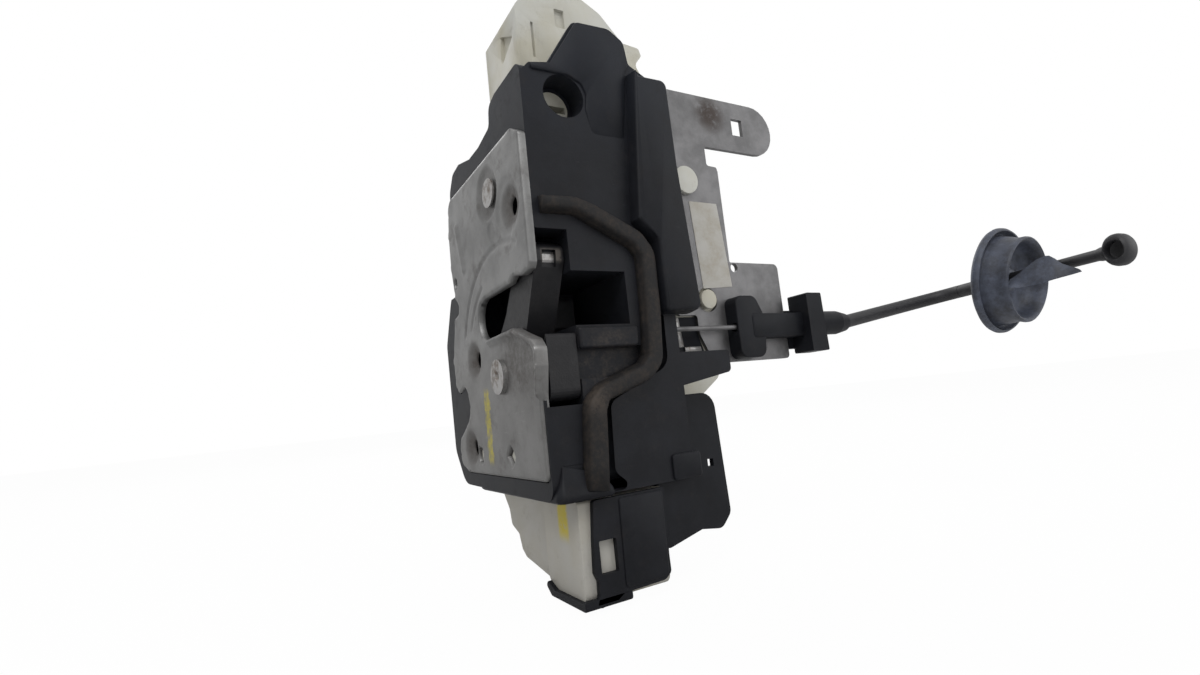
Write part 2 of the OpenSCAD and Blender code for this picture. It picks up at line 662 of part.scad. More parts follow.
// White lid on the rear of the actuator housing
lid_screws = [
    [18, actuator_top - 13], [47, 84], [73, 40], [73, -8], [35.6, 12], [37, actuator_bottom + 11], [52, actuator_bottom + 14],
];
module actuator_cover() color(natural) difference() {
    along_y(pocket_y1, actuator_y1) polygon(rounded(actuator_outline));
    translate([bay_x1 - 40, pocket_y1 - 1, sump_top - 80]) cube([40 + nest_gap, 10, 80 + nest_gap]);
    for (at = lid_screws) pin_y(at, 1.6, pocket_y1 - 1, actuator_y1 + 1);
}

// Screws that hold the lid
module cover_screws() color(steel) for (at = lid_screws) {
    pin_y(at, 1.5, pocket_y1 - 6, actuator_y1 + eps);
    difference() {
        pin_y(at, 3, actuator_y1, actuator_y1 + 1.8);
        pin_y(at, 1.2, actuator_y1 + 0.6, actuator_y1 + 2, $fn = 6);
    }
}

// Motor, its worm, the wheel with its pinion, and the lever that it turns
module lock_motor() color(steel) translate([motor_at[0], gear_y, 0]) {
    along_z(motor_at[1] - motor_l, motor_at[1]) intersection() {
        circle(motor_d / 2);
        square([motor_d, motor_d * 0.76], center = true);
    }
    along_z(motor_at[1] - eps, motor_at[1] + 1.4) circle(3);
    along_z(motor_at[1] - motor_l - 1.4, motor_at[1] - motor_l + eps) circle(3);
}
module motor_worm() color(brass) translate([motor_at[0], gear_y, 0]) {
    along_z(motor_at[1] + 1.7, motor_at[1] + 1.7 + worm_l) circle(worm_r - 0.9);
}
function tooth(r, n, i, wide, slim, up, down) =
    let (a = 360 * i / n, pw = wide / r * 90 / PI, pt = slim / r * 90 / PI, pr = wide * 1.5 / r * 90 / PI)
    [polar(r - down, a - pr), polar(r, a - pw), polar(r + up, a - pt), polar(r + up, a + pt), polar(r, a + pw), polar(r - down, a + pr)];
module gear(n, from, to) {
    r = module_size * n / 2;
    polygon([each (to - from >= n - 1 ? [] : [[0, 0]]), for (i = [from:to]) each tooth(r, n, i, 1.1, 0.5, 0.8, 1.1)]);
}
module worm_wheel() color(natural) translate([wheel_at[0], 0, wheel_at[1]]) difference() {
    union() {
        along_y(gear_y - wheel_t / 2, gear_y + wheel_t / 2) gear(wheel_teeth, 0, wheel_teeth - 1);
        along_y(gear_y + wheel_t / 2 - eps, gear_y + wheel_t / 2 + pinion_t) rotate(10) gear(pinion_teeth, 0, pinion_teeth - 1);
    }
    pin_y([0, 0], axle_r + running_gap, pocket_y0, pocket_y1);
}
module wheel_axle() color(steel) {
    pin_y(wheel_at, axle_r, pocket_y0 - 0.6, pocket_y1 - 0.5);
    pin_y(lock_at, axle_r, pocket_y0 - 0.6, pocket_y1 - 0.5);
}
module lock_lever() color(natural) {
    lever_y0 = gear_y + wheel_t / 2 + 0.5;
    translate([lock_at[0], 0, lock_at[1]]) difference() {
        along_y(lever_y0, lever_y0 + 2.6) {
            rotate(-95) gear(sector_teeth, -2, 3);
            circle(6);
            link([0, 0], [-6, 30], 5, 3);
        }
        pin_y([0, 0], axle_r + running_gap, pocket_y0, pocket_y1);
    }
}

// Black cover under the side face, with its foot and snap window
module lower_cover() color(black) difference() {
    union() {
        along_y(near, near + 1.6) polygon(rounded([
            [10.5, actuator_bottom - 4, 1], [17, actuator_bottom - 3.4, 2], [31.5, actuator_bottom + 0.4, 3],
            [33, actuator_bottom + 6, 2], [33, sump_top, 1], [10.5, sump_top, 1],
        ]));
        along_x(6.3, 20) polygon(rounded([
            [near, actuator_bottom - 5, 1], [bulge_y1 + 1, actuator_bottom - 4.8, 1], [bulge_y1 + 2.4, actuator_bottom - 3.1, 0.6],
            [near + 1.6, actuator_bottom - 3.1, 0], [near + 1.6, actuator_bottom - 2, 0], [near, actuator_bottom - 2, 0],
        ]));
        translate([6.3, bulge_y1 + 0.4, actuator_bottom - 3.6]) cube([5, 2, 3.6]);
    }
    translate([12.3, near - 1, actuator_bottom + 4.5]) cube([5, 4, 7.4]);
}

// Black plug housing beside the cover
module connector_housing() color(black) difference() {
    union() {
        along_y(near + 3.4, actuator_y0 - nest_gap) polygon(rounded([
            [33.4, actuator_bottom + 5, 2], [50, actuator_bottom + 9, 2], [50, housing_bottom - 0.6, 1], [33.4, housing_bottom - 0.6, 1],
        ]));
        along_y(-14.4, actuator_y0 - nest_gap) polygon(rounded([
            [44.6, actuator_bottom + 8, 2], [58, actuator_bottom + 6, 3], [62, actuator_bottom + 10, 3], [60.6, -28.6, 5], [46, -28.6, 3], [44.6, -34, 2],
        ]));
    }
    translate([50, -12.6, actuator_bottom + 13]) cube([20, 8, 18]);
    translate([55.4, -16, -50.6]) cube([2.2, 6, 2.2]);
    pin_row(0.03);
}
module pin_row(gap) for (i = [0:4])
    translate([46.4 - gap, -9 - gap, actuator_bottom + 15.4 + 3.2 * i - gap]) cube([12 + gap, 0.8 + 2 * gap, 0.8 + 2 * gap]);
module connector_pins() color(brass) pin_row(0);

// Steel bracket beside the side cover, with the arm and the cable tab
module bracket_plate() color(steel) along_y(bracket_y0, bracket_y1) difference() {
    arm_top = 76.4;
    polygon(rounded([
        [66.9, -3, 1], [66.9, -9, 5], [70.4, -16, 5], [75, -19.3, 3], [107.6, -19.3, 1.5], [107.6, 15.5, 2], [84.4, 15.5, 0.5],
        [84.4, 48.6, 1.4], [83.9, 50.2, 0.8], [79.6, 50.4, 1], [79.6, arm_top - arm_w, 1], [114, arm_top - arm_w, arm_w / 2],
        [114, arm_top, arm_w / 2], [52, arm_top, 4], [52, 0, 3], [60, -3, 2],
    ]));
    translate([94.2, arm_top - 12.6]) square([5.2, 6.4]);
    translate([86.2, 13.6]) circle(1.6);
    translate([stakes[0][0], stakes[0][1]]) circle(stakes[0][2] * 0.7 + 0.1);
    translate([stakes[1][0] + 0.6, stakes[1][1]]) circle(stakes[1][2] + 1);
}
module blank_label() color(natural) along_y(bracket_y0 - 0.15, bracket_y0)
    polygon([[71, 6], [84, 6.8], [81.6, 36.4], [69.4, 36.4]]);

// Black clip that holds the end of the conduit on the bracket's tab
module cable_clip() color(black) difference() {
    union() {
        along_y(bracket_y0 - 5, bracket_y0) {
            polygon(rounded([[79.4, -18.6, 3], [90.8, -18.6, 3], [91.6, -12, 2], [91.6, -3.4, 2], [88.6, 2.6, 3], [79.4, 2.6, 3]]));
            polygon(rounded([[86, -12, 1], [112, -12, 0.5], [112, -3.6, 0.5], [86, -3.6, 1]]));
        }
        along_y(bracket_y0 - 8.6, bracket_y0) polygon(rounded([[sleeve_x0 - 8.4, -18, 0.6], [sleeve_x0, -18, 0.6], [sleeve_x0 - 0.6, 3, 0.6], [sleeve_x0 - 8.4, 3, 0.6]]));
        translate([107.9, bracket_y0 - eps, -16]) cube([sleeve_x0 - 108, 3, 14]);
    }
    translate([70, wire_y, wire_z]) rotate([0, 90, 0]) cylinder(r = 1.6, h = 60);
}
module wire_end() color(steel) {
    translate([wire_at[0] + 3.6, wire_y, wire_z]) rotate([0, 90, 0]) cylinder(r = 0.8, h = 62);
    difference() {
        pin_y(wire_at, 4, wire_y - 1.2, wire_y + 1.2);
        translate([wire_at[0] - 2.2, wire_y - 2, wire_z - 3]) cube([4.4, 4, 6]);
    }
}
module cable_sleeve() color(black) translate([0, wire_y, cable_z]) rotate([0, 90, 0]) difference() {
    rotate_extrude() polygon([
        [0, sleeve_x0], [4.4, sleeve_x0], [4.4, sleeve_x1 - 5], [conduit_d / 2 + 0.9, sleeve_x1], [0, sleeve_x1],
    ]);
    translate([0, 0, sleeve_x0 - 1]) cylinder(r = 1.2, h = 30);
    translate([0, 0, sleeve_x1 - 6]) cylinder(r = conduit_d / 2 + 0.02, h = 10);
}

// Cable conduit, its rubber grommet, and the rod with the ball end
module cable_conduit() color(rubber) sweep(conduit_route, conduit_d / 2, 12);
module on_cable() translate(rod_from) rotate([0, acos(rod_dir[2]), atan2(rod_dir[1], rod_dir[0])]) children();
module conduit_tip() color(rubber) on_cable() difference() {
    translate([0, 0, 0.3 - conduit_end_l]) cylinder(r = conduit_d / 2, h = conduit_end_l - 0.3);
    translate([0, 0, 1.9 - conduit_end_l]) cylinder(r = rod_d / 2 + 0.15, h = conduit_end_l);
}
module grommet() color(grey_rubber) on_cable() {
    rotate_extrude() polygon([
        [conduit_d / 2 + 0.05, -3], [5, -3], [6, -1], [grommet_d / 2 - 2, -1.4], [grommet_d / 2 + 0.8, 1.2],
        [grommet_d / 2, 2.4], [grommet_d / 2 - 3, 0.8], [16.4, 2], [15, 6], [15.6, 12.4], [14.2, 12.8], [13, 6], [11, 2.6],
        [4.2, 2.6], [rod_d / 2 + 0.15, 14], [rod_d / 2 + 0.15, 0.2], [conduit_d / 2 + 0.05, 0.2],
    ]);
    difference() {
        along_y(-1, 1) polygon([[2, 2.2], [14, 2.2], [14, 8], [3.2, 22], [2, 22]]);
        cylinder(r = rod_d / 2 + 0.15, h = 30);
    }
}
module cable_rod() color(rubber) on_cable() translate([0, 0, -1.6]) cylinder(r = rod_d / 2, h = rod_l - 2);
module ball_end() color(rubber) on_cable() difference() {
    translate([0, 0, rod_l]) sphere(ball_d / 2);
    cylinder(r = rod_d / 2, h = rod_l - 3.6);
    translate([0, 0, rod_l]) rotate([0, 90, 0]) cylinder(r = ball_d * 0.28, h = 20);
}

striker_plate();
back_plate();
latch_housing();
striker_buffer();
claw_pivot();
pawl_pivot();
claw_plate();
claw_cover();
pawl();
pawl_sleeve();
claw_spring();
pawl_spring();
release_lever();
inside_lever();
outside_lever();
key_cam();
lever_pins();
ajar_switch();
rear_cover();
side_cover();
lower_cover();
connector_housing();
connector_pins();
actuator_housing();
actuator_cover();
cover_screws();
lock_motor();
motor_worm();
worm_wheel();
wheel_axle();
lock_lever();
lock_switch();
bracket_plate();
blank_label();
cable_clip();
wire_end();
cable_sleeve();
cable_conduit();
conduit_tip();
grommet();
cable_rod();
ball_end();
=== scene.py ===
"""A door latch actuator: face plate and claw, moulded housings, bracket, and the cable to the handle."""

from math import ceil, cos, degrees, pi, sin, tan

import bmesh
import bpy
from mathutils import Matrix, Vector
from mathutils.geometry import delaunay_2d_cdt


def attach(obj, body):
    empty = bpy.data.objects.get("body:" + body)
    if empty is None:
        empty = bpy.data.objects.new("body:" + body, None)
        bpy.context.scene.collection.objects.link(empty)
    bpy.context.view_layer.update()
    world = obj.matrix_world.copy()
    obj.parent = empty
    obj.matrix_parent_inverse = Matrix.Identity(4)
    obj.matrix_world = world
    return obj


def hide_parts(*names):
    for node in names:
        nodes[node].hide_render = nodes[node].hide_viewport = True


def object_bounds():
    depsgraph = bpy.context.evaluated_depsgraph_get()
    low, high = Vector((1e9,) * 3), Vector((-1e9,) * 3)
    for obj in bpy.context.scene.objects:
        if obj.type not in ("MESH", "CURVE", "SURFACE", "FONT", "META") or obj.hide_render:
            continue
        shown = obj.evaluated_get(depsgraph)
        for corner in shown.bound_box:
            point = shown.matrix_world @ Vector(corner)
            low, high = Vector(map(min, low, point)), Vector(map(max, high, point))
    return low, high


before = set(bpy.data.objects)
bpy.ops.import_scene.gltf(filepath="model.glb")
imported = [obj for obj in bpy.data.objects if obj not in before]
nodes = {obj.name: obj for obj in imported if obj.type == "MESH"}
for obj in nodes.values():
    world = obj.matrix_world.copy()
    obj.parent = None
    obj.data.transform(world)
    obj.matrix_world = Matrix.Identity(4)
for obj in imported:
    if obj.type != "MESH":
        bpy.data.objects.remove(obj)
model_box = [list(corner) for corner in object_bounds()]
mm = 0.001

# Camera. It is low, close to the edge of the face plate, and looks slightly up along the side face,
# so that the near parts are large and the cable runs away to the right.
eye = Vector((-0.0614, -0.1558, -0.0291))
right = Vector((0.8606, -0.4983, -0.1052))
up = Vector((0.0338, -0.1501, 0.9881))
camera_data = bpy.data.cameras.new("camera")
camera_data.sensor_width = 36
camera_data.lens = 17.87
camera_data.clip_start = 0.005
camera = bpy.data.objects.new("camera", camera_data)
turn = Matrix((right, up, right.cross(up))).transposed()
camera.matrix_world = Matrix.Translation(eye) @ turn.to_4x4()
bpy.context.collection.objects.link(camera)
bpy.context.scene.camera = camera
bpy.context.scene.view_settings.view_transform = "Standard"

# Studio. A pale floor under the lowest moulding and a white background behind it, an even sky for
# soft shade, and three large lamps at a level where a colour shows as it is written.
floor_size = 6
floor_z = model_box[0][2]
floor_mesh = bpy.data.meshes.new("floor")
floor_mesh.from_pydata(
    [(x * floor_size, y * floor_size, floor_z) for x, y in ((-1, -1), (1, -1), (1, 1), (-1, 1))],
    [],
    [(0, 1, 2, 3)],
)
floor = bpy.data.objects.new("floor", floor_mesh)
bpy.context.collection.objects.link(floor)


class Value:
    """One socket in a material. Sums and products of values add Math nodes."""

    def __init__(self, tree, socket):
        self.tree = tree
        self.socket = socket

    def node(self, kind, settings=None, inputs=None, output=0):
        """Adds any other node: its settings first, then its sockets' values or links."""
        node = self.tree.nodes.new(kind)
        for name, setting in (settings or {}).items():
            setattr(node, name, setting)
        for name, value in (inputs or {}).items():
            if isinstance(value, Value):
                self.tree.links.new(value.socket, node.inputs[name])
            else:
                node.inputs[name].default_value = value
        return Value(self.tree, node.outputs[output])

    def math(self, operation, first, second=0.0):
        return self.node("ShaderNodeMath", {"operation": operation}, {0: first, 1: second})

    def __add__(self, other):
        return self.math("ADD", self, other)

    def __radd__(self, other):
        return self.math("ADD", other, self)

    def __sub__(self, other):
        return self.math("SUBTRACT", self, other)

    def __rsub__(self, other):
        return self.math("SUBTRACT", other, self)

    def __mul__(self, other):
        return self.math("MULTIPLY", self, other)

    def __rmul__(self, other):
        return self.math("MULTIPLY", other, self)

    def larger(self, other):
        return self.math("MAXIMUM", self, other)

    def smaller(self, other):
        return self.math("MINIMUM", self, other)

    def ramp(self, low, high):
        """0 at low, 1 at high, and smooth between them."""
        return self.node(
            "ShaderNodeMapRange",
            {"interpolation_type": "SMOOTHSTEP"},
            {"Value": self, "From Min": low, "From Max": high},
        )

    def mix(self, none, full):
        """The colour none where this is 0 and the colour full where it is 1."""
        return self.node(
            "ShaderNodeMix",
            {"data_type": "RGBA"},
            {0: self, 6: none, 7: full},
            output=2,
        )

    def feed(self, node, name):
        self.tree.links.new(self.socket, node.inputs[name])


def seen_rays(tree):
    """1 for the rays that show the background: seen directly, in a reflection, or through glass."""
    path = tree.nodes.new("ShaderNodeLightPath")
    camera_ray, glossy_ray, through_ray = (
        Value(tree, path.outputs[name])
        for name in ("Is Camera Ray", "Is Glossy Ray", "Is Transmission Ray")
    )
    return camera_ray, camera_ray.larger(glossy_ray).larger(through_ray)


floor_material = bpy.data.materials.new("pale_floor")
floor_material.use_nodes = True
floor_tree = floor_material.node_tree
floor_tree.nodes.clear()
floor_output = floor_tree.nodes.new("ShaderNodeOutputMaterial")
seen_directly, _ = seen_rays(floor_tree)
matt = seen_directly.node("ShaderNodeBsdfDiffuse", inputs={"Color": (0.8, 0.8, 0.8, 1)})
bright = seen_directly.node("ShaderNodeEmission", inputs={"Color": (1, 1, 1, 1), "Strength": 1.0})
white_share = 0.975
share = seen_directly * white_share
share.node("ShaderNodeMixShader", inputs={0: share, 1: matt, 2: bright}).feed(floor_output, "Surface")
floor_mesh.materials.append(floor_material)

sky_on_object = 0.42
world = bpy.data.worlds.new("studio")
world.use_nodes = True
bpy.context.scene.world = world
sky = world.node_tree.nodes["Background"]
sky.inputs["Color"].default_value = (1, 1, 1, 1)
_, seen = seen_rays(world.node_tree)
(sky_on_object + seen * (1 - sky_on_object)).feed(sky, "Strength")

lamp_aim = Vector((0.06, 0, 0))
lamps = {
    "key": ((-0.55, -0.75, 0.95), 0.7, 9.0),
    "fill": ((0.75, -0.85, 0.25), 0.9, 3.5),
    "back": ((0.3, 0.9, 0.8), 0.9, 5.0),
}
for name, (place, size, power) in lamps.items():
    lamp_data = bpy.data.lights.new(name, "AREA")
    lamp_data.shape = "DISK"
    lamp_data.size = size
    lamp_data.energy = power
    lamp = bpy.data.objects.new(name, lamp_data)
    lamp.location = place
    lamp.rotation_euler = (lamp_aim - Vector(place)).to_track_quat("-Z", "Y").to_euler()
    bpy.context.collection.objects.link(lamp)

# Catch moulding, the body of the latch. It is moulded in black glass-filled nylon, and its side face
# carries a bar under the striker's window, a tab, a sloped ledge and a flared lip at the bottom.
near = -22.0
far = 48.8
top = 46.4
bottom = -46.4
housing_top = top + 16.8
housing_bottom = bottom - 5.1
side_shape = bmesh.new()
side_shape.from_mesh(nodes["latch_housing"].data)
cut = bmesh.ops.bisect_plane(
    side_shape,
    geom=side_shape.verts[:] + side_shape.edges[:] + side_shape.faces[:],
    dist=1e-7,
    plane_co=Vector((0, near - 0.01, 0)) * mm,
    plane_no=Vector((0, -1, 0)),
    clear_outer=True,
)
cut_edges = [item for item in cut["geom_cut"] if isinstance(item, bmesh.types.BMEdge)]
bmesh.ops.holes_fill(side_shape, edges=cut_edges)
housing_mesh = bpy.data.meshes.new("catch_moulding")
side_shape.to_mesh(housing_mesh)
side_shape.free()
housing = bpy.data.objects.new("catch_moulding", housing_mesh)
bpy.context.collection.objects.link(housing)
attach(housing, "latch")
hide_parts("latch_housing")
arc_step = 12


def rounded(outline):
    """The outline with each corner (a, b, radius) rounded, in steps of at most arc_step degrees."""
    points = []
    for i, (a, b, radius) in enumerate(outline):
        corner = Vector((a, b))
        if radius == 0:
            points.append(corner)
            continue
        before = Vector(outline[i - 1][:2])
        after = Vector(outline[(i + 1) % len(outline)][:2])
        u = (before - corner).normalized()
        v = (after - corner).normalized()
        half = u.angle(v) / 2
        reach = min(radius / tan(half), (before - corner).length / 2, (after - corner).length / 2)
        radius = reach * tan(half)
        centre = corner + (u + v).normalized() * radius / sin(half)
        spoke = corner + u * reach - centre
        side = 1 if (corner - before).cross(after - corner) > 0 else -1
        sweep = side * (pi - 2 * half)
        steps = max(2, ceil(abs(degrees(sweep)) / arc_step))
        for k in range(steps + 1):
            angle = sweep * k / steps
            turned = (
                spoke.x * cos(angle) - spoke.y * sin(angle),
                spoke.x * sin(angle) + spoke.y * cos(angle),
            )
            points.append(centre + Vector(turned))
    return points


def inset(outline, distance):
    """The outline, counter-clockwise, moved inwards by a distance."""
    moved = []
    for i, (a, b, radius) in enumerate(outline):
        corner = Vector((a, b))
        along_before = (corner - Vector(outline[i - 1][:2])).normalized()
        along_after = (Vector(outline[(i + 1) % len(outline)][:2]) - corner).normalized()
        before = Vector((-along_before.y, along_before.x))
        after = Vector((-along_after.y, along_after.x))
        shift = (before + after) * distance / (1 + before.dot(after))
        moved.append((a + shift.x, b + shift.y, radius))
    return moved


def make_piece(name, points, faces, body="latch", slot="black_plastic"):
    """A piece from points in metres and faces, which rides on a body."""
    mesh = bpy.data.meshes.new(name)
    mesh.from_pydata(points, [], faces)
    shape = bmesh.new()
    shape.from_mesh(mesh)
    bmesh.ops.recalc_face_normals(shape, faces=shape.faces)
    shape.to_mesh(mesh)
    shape.free()
    mesh.polygons.foreach_set("use_smooth", [True] * len(mesh.polygons))
    piece = bpy.data.objects.new(name, mesh)
    bpy.context.collection.objects.link(piece)
    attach(piece, body)
    return piece


def join_rings(rings, closed=False):
    """Points and faces of a skin through rings of equal counts, with a face at each end."""
    count = len(rings[0])
    points = [point for ring in rings for point in ring]
    faces = []
    for i in range(len(rings) if closed else len(rings) - 1):
        low = i * count
        high = (i + 1) % len(rings) * count
        for k in range(count):
            after = (k + 1) % count
            faces.append((low + k, low + after, high + after, high + k))
    if not closed:
        faces.append(tuple(range(count)))
        faces.append(tuple(reversed(range(len(points) - count, len(points)))))
    return points, faces


def moulded(name, outline, axis, levels, slot="black_plastic"):
    """A moulding whose outline is given across an axis and moved in by level: (depth, inset)."""
    rings = []
    for depth, sunk in levels:
        ring = []
        for point in rounded(inset(outline, sunk)):
            place = [point.x, point.y]
            place.insert("xyz".index(axis), depth)
            ring.append(Vector(place) * mm)
        rings.append(ring)
    return make_piece(name, *join_rings(rings), slot=slot)


window_bar = moulded(
    "window_bar",
    [(11.6, -14.3, 0.6), (29.9, -14.3, 1), (30.2, -8.5, 1), (11.6, -8.5, 0.6)],
    "y",
    [(near + 0.2, 0), (near - 0.8, 0.1), (near - 1.2, 0.5)],
)
tab_foot = housing_bottom + 0.1
corner_tab = moulded(
    "corner_tab",
    [(36.7, tab_foot, 1), (46.3, tab_foot, 1), (46.3, -44.5, 1), (36.7, -44.5, 1)],
    "y",
    [(near + 2.2, 0), (near - 0.6, 0), (near - 0.8, 0.25)],
)
top_ledge = moulded(
    "top_ledge",
    [
        (5.6, 61.4, 0.5), (16.6, 61.5, 1.5), (20.6, 59.8, 1.5), (21.9, 56.8, 2), (21.3, 52.2, 3),
        (22.6, 45.4, 2), (33.4, 45.4, 1), (35.6, 66.2, 0.5), (37, 68.7, 1), (35.9, 75.1, 2.6),
        (30.9, 78.1, 3.6), (20.3, 77.6, 2), (11.2, 63.8, 1), (5.6, 62.8, 0.5),
    ],
    "y",
    [(near + 1, 0), (near, 0), (near - 0.25, 0.2)],
)
ledge_foot = 45
ledge_slope = 0.045
for corner in top_ledge.data.vertices:
    if corner.co.y < (near + 0.5) * mm:
        corner.co.y -= (max(0, corner.co.z / mm - ledge_foot) * ledge_slope - 0.24) * mm
bottom_lip = moulded(
    "bottom_lip",
    [
        (0.7, near - 1.2, 1.6), (2.2, near - 3, 2), (16.8, near - 3, 1.5), (16.8, near + 4, 1),
        (12, near + 4, 1), (12, 32, 1), (0.7, 32, 1),
    ],
    "z",
    [
        (housing_bottom - 0.2, 0.6), (housing_bottom + 0.4, 0), (housing_bottom + 1.9, 0.3),
        (housing_bottom + 3.5, 1.1), (housing_bottom + 5.5, 2), (housing_bottom + 8.5, 2.9),
    ],
)


def start_finish(name, colour, roughness, metallic=0.0, specular=0.5):
    """A material, its shader, and the place on the piece in millimetres."""
    material = bpy.data.materials.new(name)
    material.use_nodes = True
    tree = material.node_tree
    shader = tree.nodes["Principled BSDF"]
    shader.inputs["Base Color"].default_value = (*colour, 1)
    shader.inputs["Roughness"].default_value = roughness
    shader.inputs["Metallic"].default_value = metallic
    shader.inputs["Specular IOR Level"].default_value = specular
    place = Value(tree, tree.nodes.new("ShaderNodeTexCoord").outputs["Object"])
    place = place.node(
        "ShaderNodeVectorMath", {"operation": "SCALE"}, {"Vector": place, "Scale": 1000.0}
    )
    return material, shader, place


def place_of(vector, axis):
    """One coordinate of a place."""
    return vector.node(
        "ShaderNodeSeparateXYZ", inputs={"Vector": vector}, output="XYZ".index(axis)
    )


def noise(place, size, detail=5.0, rough=0.6, seed=0.0):
    """Noise from 0 to 1 with patches about size millimetres wide."""
    return place.node(
        "ShaderNodeTexNoise",
        {"noise_dimensions": "4D"},
        {"Vector": place, "W": seed, "Scale": 1 / size, "Detail": detail, "Roughness": rough},
    )


def stretched(place, rotation, scale):
    """The place turned and scaled, so that noise on it makes streaks."""
    return place.node(
        "ShaderNodeMapping", inputs={"Vector": place, "Rotation": rotation, "Scale": scale}
    )


def spot(place, centre, low, high):
    """1 within low of a centre, 0 beyond high."""
    gap = place.node(
        "ShaderNodeVectorMath", {"operation": "DISTANCE"}, {0: place, 1: centre}, output=1
    )
    return 1 - gap.ramp(low, high)


def press_bump(shader, height, distance):
    """Raises the surface by height, where 1 is distance in metres."""
    bump = height.node("ShaderNodeBump", inputs={"Height": height, "Distance": distance})
    bump.feed(shader, "Normal")


def round_edges(piece, width=0.3, segments=2):
    """Rounds the sharp edges of a piece by a fine bevel."""
    bevel = piece.modifiers.new("bevel", "BEVEL")
    bevel.width = width * mm
    bevel.segments = segments
    bevel.limit_method = "ANGLE"
    bevel.angle_limit = 0.6
    bevel.harden_normals = True


def finish(piece, material, width=0.3, segments=2):
    """Gives a piece of the model one material and rounded edges."""
    piece.data.materials.clear()
    piece.data.materials.append(material)
    piece.data.polygons.foreach_set("use_smooth", [True] * len(piece.data.polygons))
    if width:
        flat = piece.modifiers.new("flat", "DECIMATE")
        flat.decimate_type = "DISSOLVE"
        flat.angle_limit = 0.01
        round_edges(piece, width, segments)
    else:
        piece.data.set_sharp_from_angle(angle=0.6)


black, black_shader, place = start_finish("black_nylon", (0.012, 0.0125, 0.015), 0.5, specular=0.13)
patch = noise(place, 11, 6, 0.62, 2)
dust = noise(place, 4.5, 8, 0.72, 7).ramp(0.5, 0.8)
scrapes = noise(stretched(place, (0, 0.35, 0), (0.15, 1, 1.2)), 0.8, 4, 0.75, 17).ramp(0.66, 0.74)
window_dust = spot(place, (20, near, -18), 6, 15) * noise(place, 2.6, 8, 0.8, 19).ramp(0.42, 0.72)
tone = patch.ramp(0.3, 0.75).mix((0.0062, 0.0066, 0.0085, 1), (0.0115, 0.0124, 0.0155, 1))
# Painted light: the moulding is painted lighter and bluer towards its top, from z 30 to 70 mm.
tone = (place_of(place, "Z").ramp(30, 70) * 0.5).mix(tone, (0.017, 0.0195, 0.026, 1))
tone = (dust * 0.4).mix(tone, (0.03, 0.027, 0.026, 1))
tone = (scrapes * 0.3).mix(tone, (0.07, 0.07, 0.075, 1))
tone = (window_dust * 0.45).mix(tone, (0.07, 0.058, 0.048, 1))
tone.feed(black_shader, "Base Color")
(0.42 + patch * 0.16 + dust * 0.18).feed(black_shader, "Roughness")
press_bump(black_shader, noise(place, 0.3, 2, 0.5) * 0.6 + patch * 0.4, 0.00006)
finish(housing, black, 0.35)
for piece in (window_bar, corner_tab, top_ledge, bottom_lip):
    piece.data.materials.append(black)
for piece in (window_bar, corner_tab):
    round_edges(piece)

# Seal rib. It is moulded on the side face, where the rubber seal of the door presses on it. It keeps
# brown road dirt and is rubbed pale at its lower left end.
rib_path = [
    (4.2, 23.7, 0, 4.2), (13.6, 23.9, 4, 4.4), (18, 22.2, 5, 5), (31.9, 15.4, 4, 5.4),
    (34.9, 11.2, 5, 5.5), (34.7, -4, 12, 5.5), (33.6, -18.2, 4, 5.4), (30.4, -21.4, 4, 5.2),
    (16.6, -26, 4, 5), (14, -29.4, 5, 6), (12.9, -43, 8, 6.2), (11.8, housing_bottom + 1.6, 0, 7.2),
]
rib_line = []
for before, item, after in zip(rib_path[-1:] + rib_path[:-1], rib_path, rib_path[1:] + rib_path[:1]):
    if item[2] == 0:
        rib_line.append((Vector(item[:2]), item[3]))
    else:
        corner = rounded([(*before[:2], 0), item[:3], (*after[:2], 0)])[1:-1]
        rib_line += [(point, item[3]) for point in corner]
rib_sunk = 0.3
rib_proud = 3.4
rib_section = [
    (-0.5, -0.35, 0), (-0.5, 0.1, -0.35), (-0.5, 0.35, -0.72), (-0.5, 0.7, -0.9),
    (-0.5, 1.1, -0.97), (-0.5, 1.7, -1), (0.5, -1.7, -1), (0.5, -1.1, -0.97),
    (0.5, -0.7, -0.9), (0.5, -0.35, -0.72), (0.5, -0.1, -0.35), (0.5, 0.35, 0),
]
rings = []
for i, (point, width) in enumerate(rib_line):
    along = rib_line[min(i + 1, len(rib_line) - 1)][0] - rib_line[max(i - 1, 0)][0]
    side = Vector((-along.y, along.x)).normalized()
    ring = []
    for share, reach, proud in rib_section:
        at = point + side * (share * width + reach)
        depth = near + rib_sunk + (rib_proud + rib_sunk) * proud
        ring.append(Vector((at.x, depth, at.y)) * mm)
    rings.append(ring)
seal_rib = make_piece("seal_rib", *join_rings(rings))

rib_black, rib_shader, place = start_finish("dusty_rib", (0.03, 0.026, 0.024), 0.55, specular=0.2)
crust = noise(place, 2.4, 9, 0.78, 23)
rubbed = spot(place, (13.3, near - 3, -27), 1, 7) * noise(place, 3.4, 7, 0.75, 29).ramp(0.35, 0.6)
tone = crust.ramp(0.4, 0.75).mix((0.0095, 0.0092, 0.0098, 1), (0.034, 0.027, 0.022, 1))
tone = (rubbed * 0.5).mix(tone, (0.085, 0.068, 0.055, 1))
tone.feed(rib_shader, "Base Color")
(0.5 + crust * 0.3).feed(rib_shader, "Roughness")
press_bump(rib_shader, crust, 0.00012)
seal_rib.data.materials.append(rib_black)

